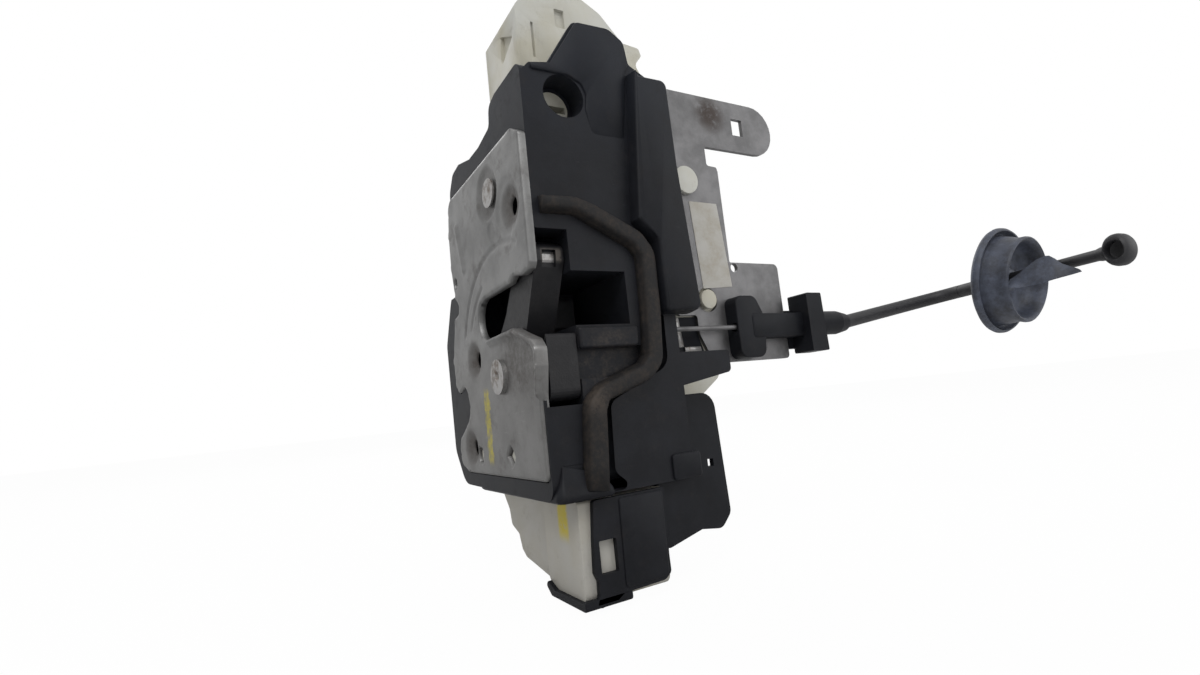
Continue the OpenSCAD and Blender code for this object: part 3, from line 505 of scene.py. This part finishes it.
# Claw, pawl and levers. They are stamped from steel sheet and turn on riveted pins between the face
# plate and the back plate. Leg springs of round wire hold the claw open and the pawl against it.
bare, bare_shader, place = start_finish("bare_steel", (0.3, 0.3, 0.3), 0.35, 1.0)
fine = noise(place, 0.7, 4, 0.7)
dirt = noise(place, 3, 6, 0.7, 5).ramp(0.45, 0.7)
dirt.mix((0.3, 0.295, 0.29, 1), (0.13, 0.105, 0.085, 1)).feed(bare_shader, "Base Color")
(0.32 + fine * 0.2 + dirt * 0.2).feed(bare_shader, "Roughness")
(0.95 - dirt * 0.4).feed(bare_shader, "Metallic")
press_bump(bare_shader, fine, 0.0001)
for name in ("claw_plate", "pawl", "release_lever", "inside_lever", "outside_lever", "back_plate"):
    finish(nodes[name], bare, 0.2)
for name in ("claw_spring", "pawl_spring", "lever_pins", "claw_pivot", "pawl_pivot"):
    finish(nodes[name], bare, 0)


# Claw cover. Black nylon is moulded over the claw to quieten it, and is worn bare where the pawl
# catches and scratched on the side that the striker meets.
def between(value, low, high, soft=1.0):
    """1 between low and high, and soft at both ends."""
    return value.ramp(low - soft, low + soft) * (1 - value.ramp(high - soft, high + soft))


claw_black, claw_shader, place = start_finish("claw_nylon", (0.01, 0.01, 0.012), 0.42, specular=0.25)
x = place_of(place, "X")
y = place_of(place, "Y")
z = place_of(place, "Z")
wear = noise(place, 1.6, 7, 0.75, 13)
bare_patch = between(z, 8.2, 13.8, 0.4) * between(x, 4.6, 10.4, 0.4) * (1 - y.ramp(near + 1, near + 3))
scratched = wear.ramp(0.6, 0.7) * (1 - y.ramp(near + 0.5, near + 2.5))
worn = bare_patch * wear.ramp(0.34, 0.5)
tone = noise(place, 5, 6, 0.7, 4).ramp(0.35, 0.75)
tone = tone.mix((0.0055, 0.0055, 0.0068, 1), (0.0125, 0.012, 0.013, 1))
tone = (scratched * 0.3).mix(tone, (0.09, 0.085, 0.08, 1))
tone = (worn * 0.9).mix(tone, (0.34, 0.3, 0.26, 1))
tone.feed(claw_shader, "Base Color")
(worn * 0.75).feed(claw_shader, "Metallic")
(0.38 + wear * 0.25).feed(claw_shader, "Roughness")
press_bump(claw_shader, noise(place, 0.5, 3, 0.6), 0.00008)
finish(nodes["claw_cover"], claw_black, 0.4, 3)

# Striker buffer. It is a block of black rubber, pressed into the end of the mouth, where it stops the
# striker's knock. The cable's plastic parts have the same dull black.
rubber, rubber_shader, place = start_finish("black_rubber", (0.02, 0.02, 0.022), 0.6, specular=0.4)
patch = noise(place, 5, 6, 0.7)
tone = patch.ramp(0.35, 0.75).mix((0.011, 0.011, 0.013, 1), (0.024, 0.024, 0.027, 1))
tone.feed(rubber_shader, "Base Color")
(0.42 + patch * 0.25).feed(rubber_shader, "Roughness")
press_bump(rubber_shader, noise(place, 0.5, 3, 0.6), 0.00005)
finish(nodes["striker_buffer"], rubber, 0.1)

# Face plate. It is pressed from zinc-plated steel sheet and closes the catch towards the door's edge.
# It has dished, threaded fixing holes, pressed arcs round the claw, and a raised fold below the mouth.
mouth_z = 6.2
mouth_end = 19.3
plate_t = 2.2
plate_outline = [
    (near + 1, bottom, 2), (far - 8, bottom, 4), (far - 1, bottom + 2.4, 4),
    (far - 0.4, bottom + 8, 4), (far - 2, bottom + 11.3, 3), (far - 9.8, bottom + 15.5, 4),
    (far - 14, bottom + 18.6, 3), (far - 14.1, bottom + 23.6, 3), (far - 10.6, bottom + 28.2, 2),
    (far - 4, bottom + 26, 2.5), (far - 0.9, bottom + 28.9, 3), (far, bottom + 37.7, 4),
    (far - 5.1, 5.4, 2), (far - 10.4, 6.4, 1), (far - 11.1, 8.8, 1), (far - 7.5, 11.8, 2),
    (far - 5.3, top - 23.4, 8), (far - 5.1, top - 12, 6), (far - 7.8, top, 5), (near + 5.4, top, 3),
    (near, top - 3.2, 1.5), (near, mouth_z + 2.3, 1), (near + 1.3, mouth_z + 0.7, 1),
    (near + 6, mouth_z + 0.3, 1), (near + 12, mouth_z + 1.5, 0.8), (near + 15, mouth_z, 1),
    (mouth_end, mouth_z, mouth_z), (mouth_end, -mouth_z, mouth_z), (near + 14, -mouth_z, 2),
    (near + 8.5, -mouth_z - 2.2, 1.5), (near + 1.4, -mouth_z - 4.7, 2), (near - 1, -mouth_z - 7.2, 2),
    (near - 0.8, -mouth_z - 11.7, 3), (near + 0.8, -mouth_z - 18.6, 1), (near + 1, -mouth_z - 20.4, 1),
]
claw_at = Vector((4, -18.2))
pawl_at = Vector((1.5, 35))
fixing_d = 5
fixing_at = [
    Vector((near + 9.7, top - 20)), Vector((far - 22.7, -11)), Vector((far - 13.4, bottom + 7.9)),
]
small_hole_at = Vector((far - 9.4, 16.8))
small_hole_d = 3.6
oval_at = Vector((far - 21.3, bottom + 5.8))
square_at = Vector((near + 23.9, bottom + 5.8))


def circle(centre, radius, steps=36):
    """Points round a centre, for a round hole."""
    spokes = [2 * pi * k / steps for k in range(steps)]
    return [centre + Vector((cos(spoke), sin(spoke))) * radius for spoke in spokes]


def oval_shape(gap):
    """The small oval hole's outline, a gap wider than its peg all round."""
    return [
        (oval_at.x + a * (1.7 + gap), oval_at.y + b * (1.9 + gap), 1.2)
        for a, b in ((-1, -1), (1, -1), (1, 1), (-1, 1))
    ]


def square_shape(gap):
    """The small square hole's outline, which stands on a corner."""
    half = (3.2 + 2 * gap) * 0.7071
    return [
        (square_at.x + a * half, square_at.y + b * half, 0.3)
        for a, b in ((0, -1), (1, 0), (0, 1), (-1, 0))
    ]


def polar(centre, radius, angle):
    """The point at a radius and an angle in degrees from a centre."""
    return centre + Vector((cos(angle * pi / 180), sin(angle * pi / 180))) * radius


plate_loops = [rounded(plate_outline)]
plate_loops += [circle(at, fixing_d / 2) for at in fixing_at]
plate_loops += [circle(small_hole_at, small_hole_d / 2, 24)]
plate_loops += [rounded(oval_shape(0.45)), rounded(square_shape(0.5))]
fold_line = [
    Vector((mouth_end - 8, -mouth_z - 0.9)), Vector((near + 16, -mouth_z - 0.9)),
    Vector((near + 12, -mouth_z - 1.2)), Vector((near + 7.5, -mouth_z - 3)),
    Vector((near + 1.6, -mouth_z - 5.4)), Vector((near - 0.1, -mouth_z - 7.6)),
    Vector((near, -mouth_z - 11.7)), Vector((near + 1.5, -mouth_z - 18.3)),
]
bead_line = [Vector((far - 14.8, 34.5)), Vector((far - 19.3, 19.4))]
far_arc = [polar(claw_at, 38.5 - i * 0.45, 118 - i * 7.4) for i in range(13)]
near_arc = [polar(claw_at, 29.6 - i * 0.2, 70 - i * 5.5) for i in range(7)]
drop_line = [Vector((-10, 19.5)), Vector((0, 21)), Vector((2.4, 24.5))]


def line_distance(point, line):
    """How far a point lies from a line of points."""
    gaps = []
    for a, b in zip(line, line[1:]):
        t = max(0, min(1, (point - a).dot(b - a) / (b - a).length_squared))
        gaps.append((point - a - (b - a) * t).length)
    return min(gaps)


def step(value, low, high):
    """1 below low, 0 above high, smooth between them."""
    t = max(0, min(1, (high - value) / (high - low)))
    return t * t * (3 - 2 * t)


def plate_depth(point):
    """How far the plate's face lies behind its plane, in millimetres; a raised place is negative."""
    depth = 0
    for at in fixing_at:
        depth = max(depth, 1.3 * step((point - at).length, 2.9, 6.4))
    depth += 0.8 * step((point - pawl_at - Vector((2.2, 0.5))).length, 6.6, 8.6)
    depth += 0.35 * step((point - fixing_at[0] - Vector((1, 0.6))).length, 6.8, 8.8) * (depth < 0.9)
    depth += 0.3 * step(line_distance(point, drop_line), 1.6, 2.9)
    depth += 0.4 * step(line_distance(point, far_arc), 0.2, 1.1)
    depth += 0.35 * step(line_distance(point, near_arc), 0.2, 1.0)
    depth -= 0.65 * step(line_distance(point, bead_line), 0.5, 2.0)
    depth -= 1.15 * step(line_distance(point, fold_line), 0.5, 1.5)
    return depth


def cut_sheet(name, loops, inner, front, back, slot="black_plastic"):
    """A sheet from its outline and its holes, with inner as its other corners. The functions front
    and back place a corner on each face, and front is told whether the corner is on an edge."""
    plane = []
    loop_corners = []
    for loop in loops:
        loop_corners.append(list(range(len(plane), len(plane) + len(loop))))
        plane += loop
    corners, _, triangles, _, _, _ = delaunay_2d_cdt(plane + inner, [], loop_corners, 2, 0.00001)
    sides = {}
    for triangle in triangles:
        for k in range(3):
            pair = (triangle[k], triangle[(k + 1) % 3])
            sides.setdefault(tuple(sorted(pair)), []).append(pair)
    rim = [pairs[0] for pairs in sides.values() if len(pairs) == 1]
    rim_corners = {k for pair in rim for k in pair}
    count = len(corners)
    points = [front(corner, k in rim_corners) * mm for k, corner in enumerate(corners)]
    points += [back(corner) * mm for corner in corners]
    faces = [tuple(triangle) for triangle in triangles]
    faces += [tuple(count + k for k in reversed(triangle)) for triangle in triangles]
    faces += [(a, b, count + b, count + a) for a, b in rim]
    return make_piece(name, points, faces, slot=slot)


# The plate's inner corners lie on a triangular grid, fine enough to hold the relief, and one more
# ring of them runs just inside each edge, so that the edge rolls over.
edge = 0.35
pitch = 0.75
row_pitch = pitch * 0.866
border = 0.62
closed_loops = [loop + loop[:1] for loop in plate_loops]
inner = []
row = 0
b = bottom + 0.4
while b < top:
    a = near - 1.2 + (row % 2) * pitch / 2
    while a < far:
        point = Vector((a, b))
        if min(line_distance(point, loop) for loop in closed_loops) > border:
            inner.append(point)
        a += pitch
    b += row_pitch
    row += 1
for loop in closed_loops:
    inwards = 1 if loop is closed_loops[0] else -1
    for before, point, after in zip(loop[-2:-1] + loop[:-2], loop[:-1], loop[1:]):
        along = (after - before).normalized()
        inner.append(point + Vector((-along.y, along.x)) * edge * inwards)
face_plate = cut_sheet(
    "face_plate",
    plate_loops,
    inner,
    lambda corner, on_edge: Vector((plate_depth(corner) + edge * on_edge, corner.x, corner.y)),
    lambda corner: Vector((plate_t, corner.x, corner.y)),
    slot="zinc_steel",
)
face_plate.data.set_sharp_from_angle(angle=1.0)
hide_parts("striker_plate")

zinc, zinc_shader, place = start_finish("dull_zinc", (0.2, 0.2, 0.2), 0.45, 0.85)
y = place_of(place, "Y")
z = place_of(place, "Z")
cloud = noise(place, 16, 6, 0.6)
fine = noise(place, 0.45, 3, 0.7)
streaks = noise(stretched(place, (0.5, 0, 0), (1, 0.12, 1.6)), 0.9, 4, 0.7, 11).ramp(0.6, 0.75)
# Painted shade: the plate is painted darker towards its lower edge, from z -4 mm down to -16 mm.
painted_low_shade = 1 - z.ramp(-16, -4)
# Dirt and painted shade: patches below the mouth, under its fold, are painted dark brown.
mouth_dirt_and_shade = spot(place, (0, -10, -13), 5, 17) * noise(place, 3, 7, 0.7, 21).ramp(0.3, 0.7)
# Dirt and painted shade: the dishes round the fixing holes and the pawl's rivet are painted dark brown.
dish_dirt_and_shade = spot(place, (0, near + 10, top - 20), 2.5, 7.5)
dish_dirt_and_shade = dish_dirt_and_shade.larger(spot(place, (0, 3.7, 35.5), 5.0, 9.5) * 0.5)
for at in fixing_at[1:]:
    dish_dirt_and_shade = dish_dirt_and_shade.larger(spot(place, (0, *at), 3, 8))
blots = noise(place, 7, 8, 0.72, 3).ramp(0.5, 0.72)
dirt = dish_dirt_and_shade * (0.35 + noise(place, 2.2, 6, 0.7, 31) * 0.7)
dirt = (blots * 0.5 + mouth_dirt_and_shade * 0.8 + dirt).smaller(1.0)
smear_y = y + noise(place, 3.5, 5, 0.7, 41) * 7 - 3.5
smear_grain = noise(place, 2.4, 7, 0.8, 8).ramp(0.38, 0.6)
smear = between(smear_y, 15.4, 20.2, 0.5) * between(z, -42.5, -21.5, 1.6)
smear = smear * (0.25 + smear_grain * 0.75)
tone = cloud.ramp(0.3, 0.7).mix((0.125, 0.125, 0.124, 1), (0.205, 0.205, 0.203, 1))
tone = (painted_low_shade * 0.3).mix(tone, (0.13, 0.125, 0.12, 1))
tone = (streaks * 0.4).mix(tone, (0.3, 0.3, 0.295, 1))
# The dark brown mix holds blots of dirt, and also the painted shade in the dishes and under the fold.
tone = (dirt * 0.85).mix(tone, (0.045, 0.036, 0.031, 1))
tone = (smear * 0.85).mix(tone, (0.4, 0.34, 0.03, 1))
tone.feed(zinc_shader, "Base Color")
(0.4 + fine * 0.14 + dirt * 0.3 + smear * 0.2).smaller(0.9).feed(zinc_shader, "Roughness")
(0.9 - dirt * 0.7 - smear * 0.85).larger(0.0).feed(zinc_shader, "Metallic")
press_bump(zinc_shader, fine * 0.35 + cloud * 0.5 + streaks * 0.1, 0.00016)
face_plate.data.materials.append(zinc)

# Actuator housing. It is moulded in undyed acetal, yellowed by grease and age, as are its lid, the
# gears and the key's cam. Two of its pegs show in the face plate's small holes, and slots are
# moulded into its top.
slots = [
    ("y", [(25.4, 90.5, 0.3), (28.8, 90.5, 0.3), (28.8, 96.7, 0.3), (25.4, 96.7, 0.3)], (-4, -1.7)),
    ("y", [(16.6, 78.5, 0.2), (17.5, 78.5, 0.2), (17.5, 90.1, 0.2), (16.6, 90.1, 0.2)], (-4, -2.0)),
    ("x", [(0.4, 86.1, 0.4), (9.6, 82.1, 0.4), (10.6, 84.1, 0.4), (9.8, 91.5, 0.4)], (10.5, 13.0)),
]
for k, (axis, outline, depths) in enumerate(slots):
    cutter = moulded(f"slot_{k}", outline, axis, [(depth, 0) for depth in depths])
    cutter.hide_render = True
    cutter.hide_viewport = True
    notch = nodes["actuator_housing"].modifiers.new("slot", "BOOLEAN")
    notch.operation = "DIFFERENCE"
    notch.solver = "EXACT"
    notch.object = cutter
peg_levels = [(6, 0), (1.3, 0), (1.1, 0.2)]
pegs = [
    moulded("oval_peg", oval_shape(0), "x", peg_levels, slot="natural_plastic"),
    moulded("square_peg", square_shape(0), "x", peg_levels, slot="natural_plastic"),
]

white, white_shader, place = start_finish("undyed_acetal", (0.5, 0.48, 0.42), 0.4, specular=0.3)
y = place_of(place, "Y")
z = place_of(place, "Z")
patch = noise(place, 18, 5, 0.6, 4)
# Painted shade: the moulding is painted darker and greyer towards the bottom of the bay, below z -40 mm
# and fully below -52 mm.
painted_bay_shade = 1 - z.ramp(-52, -40)
grime = noise(place, 5, 9, 0.8, 37).ramp(0.52, 0.76)
paint = between(y, -14, -8.5, 0.8) * between(z, -62, -50, 2)
paint = paint * noise(place, 3.4, 5, 0.7, 43).ramp(0.3, 0.45)
tone = patch.ramp(0.3, 0.7).mix((0.47, 0.47, 0.435, 1), (0.42, 0.4, 0.325, 1))
tone = (painted_bay_shade * 0.45).mix(tone, (0.27, 0.248, 0.228, 1))
tone = (grime * 0.4).mix(tone, (0.15, 0.115, 0.08, 1))
tone = (paint * 0.9).mix(tone, (0.5, 0.4, 0.012, 1))
tone.feed(white_shader, "Base Color")
(0.36 + patch * 0.2 + grime * 0.2).feed(white_shader, "Roughness")
press_bump(white_shader, noise(place, 0.4, 2, 0.5) * 0.5 + patch * 0.5, 0.00005)
for name in ("actuator_housing", "actuator_cover", "worm_wheel", "lock_lever", "key_cam", "pawl_sleeve"):
    finish(nodes[name], white)
for peg in pegs:
    peg.data.materials.append(white)

# Motor, switches and screws. The motor is a steel can that drives a brass worm, the switches are
# closed black boxes, the plug's pins are brass, and seven steel screws hold the lid.
finish(nodes["lock_motor"], bare)
finish(nodes["cover_screws"], bare, 0.2)
finish(nodes["wheel_axle"], bare, 0)
brass, brass_shader, place = start_finish("brass", (0.55, 0.4, 0.16), 0.3, 1.0)
tone = noise(place, 2).ramp(0.3, 0.8).mix((0.58, 0.42, 0.17, 1), (0.4, 0.28, 0.12, 1))
tone.feed(brass_shader, "Base Color")
for name in ("motor_worm", "connector_pins"):
    finish(nodes[name], brass, 0)
for name in ("ajar_switch", "lock_switch"):
    finish(nodes[name], black)

# Covers. A raised cover closes the lever space beside the catch, a flat one with a foot and a snap
# window holds the motor's bay, and all are moulded in the housing's black nylon and snapped on.
side_cover = moulded(
    "side_cover_face",
    [
        (38, -5.6, 1), (51, -5.4, 2), (48.3, 37.7, 12), (47.9, housing_top + 0.9, 2),
        (38, housing_top + 0.7, 0.6), (37.7, housing_top + 2.4, 0.5), (36.3, housing_top + 2.4, 0.6),
        (32, 20.6, 0.8), (33.6, 19, 0.8), (37.9, 14.8, 2), (38, 8, 2),
    ],
    "y",
    [
        (near + 1.5, 0), (near, 0), (near - 1.8, 0.15), (near - 3.6, 0.35), (near - 4.2, 0.55),
        (near - 4.5, 0.95),
    ],
)
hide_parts("side_cover")
cover_skirt = moulded(
    "side_cover_skirt",
    [
        (46.1, 46.2, 0), (48.2, 46.2, 0), (47.9, housing_top + 0.9, 2), (38, housing_top + 0.7, 0.6),
        (38, housing_top - 1.4, 0), (45.8, housing_top - 1.3, 1),
    ],
    "y",
    [(-4.5, 0), (near + 0.5, 0)],
)
# Painted shade: a thin black sheet fills the cable window, in place of the shade inside it.
window_shade_sheet = moulded(
    "cable_window_shade_sheet",
    [(44.4, -16.8, 0.5), (69.5, -16.8, 0.5), (66.8, -9, 2), (66.6, -3.4, 0.5), (44.4, -3.4, 0.5)],
    "y",
    [(-3.0, 0), (-3.5, 0.1)],
)
strip_levels = [(-3.4, 0), (-3.9, 0.1)]
window_strips = [
    moulded(
        "cable_window_strip",
        [(58.2, -13.4, 0.2), (60.3, -13.4, 0.2), (59.3, -3.6, 0.2), (57.6, -3.6, 0.2)],
        "y",
        strip_levels,
        slot="bare_steel",
    ),
    moulded(
        "cable_window_sill",
        [(60.5, -14.9, 0.2), (67.6, -14.9, 0.2), (67.2, -13.3, 0.2), (60.5, -13.3, 0.2)],
        "y",
        strip_levels,
        slot="bare_steel",
    ),
]
base = housing_bottom - 23.5
lower_outline = [
    (9.4, base - 3.4, 1), (15.3, base - 2.6, 1.5), (17.6, base - 1.2, 1), (30.4, base - 0.9, 2),
    (32.5, base + 0.6, 1.5), (32.4, base + 5, 4), (33, housing_bottom - 1, 0.8),
    (11.2, housing_bottom - 1, 0.8), (10.3, base + 13, 8), (9.8, base + 5, 1), (10.7, base + 3, 1),
    (10.6, base - 0.2, 1),
]
snap_window = [
    (11.7, base + 4.4, 0.4), (16.7, base + 4.4, 0.4), (16.7, base + 12.5, 0.4),
    (11.7, base + 12.5, 0.4),
]
lower_cover_t = 1.6
lower_cover = cut_sheet(
    "lower_cover_face",
    [rounded(lower_outline), rounded(snap_window)],
    [],
    lambda corner, on_edge: Vector((corner.x, near, corner.y)),
    lambda corner: Vector((corner.x, near + lower_cover_t, corner.y)),
)
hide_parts("lower_cover")
lower_panel = moulded(
    "lower_cover_panel",
    [
        (18.2, base - 0.2, 1), (31.6, base + 0.2, 1.5), (32.2, housing_bottom - 1.6, 0.8),
        (18.6, housing_bottom - 1.6, 0.8),
    ],
    "y",
    [(near + 0.2, 0), (near - 0.25, 0), (near - 0.4, 0.2)],
)
lower_foot = moulded(
    "lower_cover_foot",
    [
        (near, base - 3.4, 1), (-2.6, base - 3.3, 1.2), (0.4, base - 1, 0.8), (-0.6, base + 0.3, 0.5),
        (-5, base - 1.4, 1), (near + 1.6, base - 1.4, 0), (near + 1.6, base - 1, 0), (near, base - 1, 0),
    ],
    "x",
    [(6.3, 0.15), (6.5, 0), (20, 0)],
)
for piece in (side_cover, cover_skirt, window_shade_sheet, lower_cover, lower_panel, lower_foot):
    piece.data.materials.append(black)
for piece in (cover_skirt, lower_cover, lower_panel, lower_foot):
    round_edges(piece)
for strip in window_strips:
    strip.data.materials.append(bare)
for name in ("connector_housing", "rear_cover"):
    finish(nodes[name], black)

# Bracket. It is bare steel sheet, riveted over by two plastic stakes, with an arm for the door's
# inner frame. It carries a blank paper label, browned at its edges.
bracket, bracket_shader, place = start_finish("bracket_steel", (0.2, 0.2, 0.2), 0.5, 0.85)
cloud = noise(place, 10, 6, 0.7)
fine = noise(place, 0.4, 3, 0.7)
arm_rust = spot(place, (84, -4.4, 70), 2, 9) * noise(place, 2.4, 8, 0.8, 15).ramp(0.36, 0.52)
rust = noise(place, 4, 8, 0.75, 9).ramp(0.64, 0.78).larger(arm_rust)
tone = cloud.ramp(0.3, 0.7).mix((0.105, 0.104, 0.106, 1), (0.165, 0.163, 0.166, 1))
(rust * 0.85).mix(tone, (0.035, 0.022, 0.016, 1)).feed(bracket_shader, "Base Color")
(0.42 + fine * 0.2 + rust * 0.25).feed(bracket_shader, "Roughness")
(0.85 - rust * 0.6).feed(bracket_shader, "Metallic")
press_bump(bracket_shader, fine * 0.7 + rust * 0.3, 0.0001)
finish(nodes["bracket_plate"], bracket, 0.2)

paper, paper_shader, place = start_finish("blank_paper", (0.42, 0.4, 0.36), 0.7, specular=0.2)
tone = noise(place, 6, 7, 0.7, 3).ramp(0.35, 0.75)
tone.mix((0.42, 0.41, 0.385, 1), (0.33, 0.305, 0.255, 1)).feed(paper_shader, "Base Color")
(0.6 + noise(place, 3) * 0.2).feed(paper_shader, "Roughness")
finish(nodes["blank_label"], paper, 0)

# Cable clip, sleeve and wire. The black nylon clip snaps on the bracket's edge and grips the sleeve
# at the conduit's end. The steel wire runs on from it to the levers.
clip_block = moulded(
    "clip_block_face",
    [
        (79.4, -18.6, 3), (90.8, -18.6, 3), (91.6, -12, 2), (91.6, -3.4, 2), (88.6, 2.6, 3),
        (79.4, 2.6, 3),
    ],
    "y",
    [(-8.9, 0.05), (-9.5, 0.05), (-9.7, 0.12), (-9.8, 0.35)],
)
clip_bar = moulded(
    "clip_bar_face",
    [(86, -12, 1), (112, -12, 0.5), (112, -3.6, 0.5), (86, -3.6, 1)],
    "y",
    [(-8.9, 0.05), (-9.8, 0.05), (-10.05, 0.3)],
)
for piece in (clip_block, clip_bar):
    piece.data.materials.append(black)
for name in ("cable_clip", "cable_sleeve"):
    finish(nodes[name], black)
finish(nodes["wire_end"], bracket, 0.15)


# Conduit of the handle's cable. It is a stiff plastic tube over a coil of wire, pushed into the
# sleeve on the clip, and it bends forward to the grommet in the door.
def tube(name, route, radii, body="latch", sides=28):
    """A round tube along a route of points, with one radius for each of them."""
    rings = []
    for i, (place, radius) in enumerate(zip(route, radii)):
        along = (route[min(i + 1, len(route) - 1)] - route[max(i - 1, 0)]).normalized()
        side = along.cross(Vector((0, 0, 1))).normalized()
        rise = side.cross(along)
        spokes = [2 * pi * k / sides for k in range(sides)]
        rings.append([place + (side * cos(a) + rise * sin(a)) * radius for a in spokes])
    return make_piece(name, *join_rings(rings), body, "black_rubber")


sleeve_end = Vector((0.135, -0.008, -0.0075))
rod_start = Vector((0.1804, -0.0437, 0.001))
rod_end = Vector((0.1704, -0.083, 0.0014))
conduit_radius = 0.0025
conduit_steps = 24
along_rod = (rod_end - rod_start).normalized()
conduit_end = rod_start - along_rod * 0.017
bend_corner = conduit_end + along_rod * (sleeve_end.y - conduit_end.y) / along_rod.y
conduit_route = [sleeve_end - Vector((0.006, 0, 0)), sleeve_end - Vector((0.003, 0, 0))]
for i in range(conduit_steps + 1):
    t = i / conduit_steps
    conduit_route.append(
        sleeve_end * (1 - t) ** 2 + bend_corner * 2 * t * (1 - t) + conduit_end * t * t
    )
conduit = tube("conduit", conduit_route, [conduit_radius] * len(conduit_route))
conduit.data.materials.append(rubber)
conduit.data.set_sharp_from_angle(angle=0.8)
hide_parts("cable_conduit")
finish(nodes["conduit_tip"], rubber, 0.1)

# Grommet in the door. It is moulded in soft grey rubber: a flange with a groove round a cup, which
# has sagged off the rod's line, and a torn lip that stands out beside the rod.
grommet_axis = Vector((0.01, -0.985, -0.173)).normalized()
grommet_at = Vector((0.1798, -0.0437, 0.001))
across = grommet_axis.cross(Vector((0, 0, 1))).normalized()
above = across.cross(grommet_axis)
grommet_profile = [
    (2.6, -3.2), (4.9, -3.2), (5.6, -2.6), (6.4, -1.2), (8.5, -0.7), (16.4, -1.3), (17.6, -1.2),
    (19.0, -0.3), (19.4, 0.5), (19.3, 1.5), (18.8, 2.2), (18.3, 2.2), (17.9, 1.6), (17.5, 0.5),
    (16.9, 0.2), (16.4, 0.9), (16.1, 2.6), (15.8, 4.4), (15.4, 5.6), (15.2, 7.4), (15.4, 9.0),
    (15.3, 9.6), (14.8, 9.9), (14.2, 9.6), (13.7, 8.8), (13.3, 7.0), (13.0, 5.0), (12.2, 3.6),
    (11.0, 3.0), (8.0, 2.7), (5.4, 2.8), (4.6, 3.6), (3.6, 4.4), (2.6, 4.4), (2.3, 3.0),
]
grommet_turns = 96
rings = []
for k in range(grommet_turns):
    angle = 2 * pi * k / grommet_turns
    spoke = across * cos(angle) + above * sin(angle)
    rings.append([grommet_at + (spoke * r + grommet_axis * t) * mm for r, t in grommet_profile])
grommet = make_piece("door_grommet", *join_rings(rings, closed=True), slot="grey_rubber")
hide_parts("grommet")

# The lip's edges are given as seen from the camera, with how deep they lie along the grommet's axis.
frame_centre = (600, 337.5)
focal_pixels = 595.7


def on_grommet(x, y, depth):
    """The point seen at x, y that lies depth millimetres along the grommet's axis."""
    ray = right.cross(up) * -1
    ray += right * (x - frame_centre[0]) / focal_pixels + up * (frame_centre[1] - y) / focal_pixels
    level = (grommet_at - eye).dot(grommet_axis) + depth * mm
    return eye + ray * (level / ray.dot(grommet_axis))


upper_edge = [
    (1014, 279, 10.3), (1021, 274.5, 12.0), (1030, 267, 14.6), (1040, 259.5, 17.4),
    (1049, 255.5, 20.0), (1055, 258.5, 21.6), (1062, 263.5, 23.6), (1071, 266.4, 26.2),
    (1078, 268.4, 28.4),
]
lower_edge = [
    (1010, 287.5, 10.4), (1018, 287.8, 12.4), (1028, 286.6, 15.2), (1038, 284.4, 18.2),
    (1047, 281.6, 20.8), (1055, 279.2, 22.8), (1063, 277, 24.8), (1072, 274.6, 27.0),
    (1078.6, 272.6, 28.8),
]
lip_t = grommet_axis * -0.0012
rings = []
for upper, lower in zip(upper_edge, lower_edge):
    a = on_grommet(*upper)
    b = on_grommet(*lower)
    front = [a, a.lerp(b, 0.35) - lip_t * 0.5, a.lerp(b, 0.8) - lip_t * 0.8, b]
    rings.append(front + [b + lip_t, a.lerp(b, 0.7) + lip_t * 1.4, a + lip_t])
torn_lip = make_piece("grommet_lip", *join_rings(rings), slot="grey_rubber")

grey, grey_shader, place = start_finish("grey_rubber", (0.06, 0.063, 0.075), 0.55, specular=0.4)
patch = noise(place, 8, 6, 0.7)
bloom = noise(place, 2.5, 8, 0.75, 6).ramp(0.4, 0.75)
tone = patch.ramp(0.35, 0.7).mix((0.025, 0.027, 0.035, 1), (0.062, 0.072, 0.102, 1))
(bloom * 0.4).mix(tone, (0.12, 0.138, 0.19, 1)).feed(grey_shader, "Base Color")
(0.42 + patch * 0.25).feed(grey_shader, "Roughness")
press_bump(grey_shader, bloom * 0.5 + patch * 0.5, 0.00008)
for piece in (grommet, torn_lip):
    piece.data.materials.append(grey)
    piece.data.set_sharp_from_angle(angle=0.9)

# Rod. A steel rod with a plastic skin slides in the conduit's end, and its own end is moulded in
# nylon: an oval eye with a blind socket for the handle's pin.
rod_length = (rod_end - rod_start).length
rod_steps = [
    (-0.0016, 0.0019), (rod_length - 0.0062, 0.0019), (rod_length - 0.0052, 0.0022),
    (rod_length - 0.0034, 0.0024),
]
rod = tube(
    "rod_skin",
    [rod_start + along_rod * reach for reach, _ in rod_steps],
    [radius for _, radius in rod_steps],
    "rod",
)
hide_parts("cable_rod")
eye_d = 10.2
eye_side = along_rod.cross(Vector((0, 0, 1))).normalized()
eye_up = eye_side.cross(along_rod)
eye_levels = [
    (-0.3, 1.7), (-0.27, 1.1), (-0.22, 0.5), (-0.12, 0.1), (0.06, 0.0), (0.17, 0.2), (0.24, 0.5),
    (0.28, 1.1),
]
socket_levels = [(0.275, 3.1), (0.24, 2.85), (0.0, 2.75), (-0.02, 2.4)]
eye_sizes = [(height, eye_d / 2 - sunk, 0.39 * eye_d - sunk) for height, sunk in eye_levels]
eye_sizes += [(height, radius, radius) for height, radius in socket_levels]
eye_turns = 48
rings = []
for height, wide, tall in eye_sizes:
    ring = []
    for k in range(eye_turns):
        angle = 2 * pi * k / eye_turns
        spoke = eye_up * wide * cos(angle) + along_rod * tall * sin(angle)
        ring.append(rod_end + (spoke + eye_side * height * eye_d) * mm)
    rings.append(ring)
rod_eye = make_piece("rod_eye", *join_rings(rings), "rod", "black_rubber")
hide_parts("ball_end")
for piece in (rod, rod_eye):
    piece.data.materials.append(rubber)
    piece.data.set_sharp_from_angle(angle=0.8)
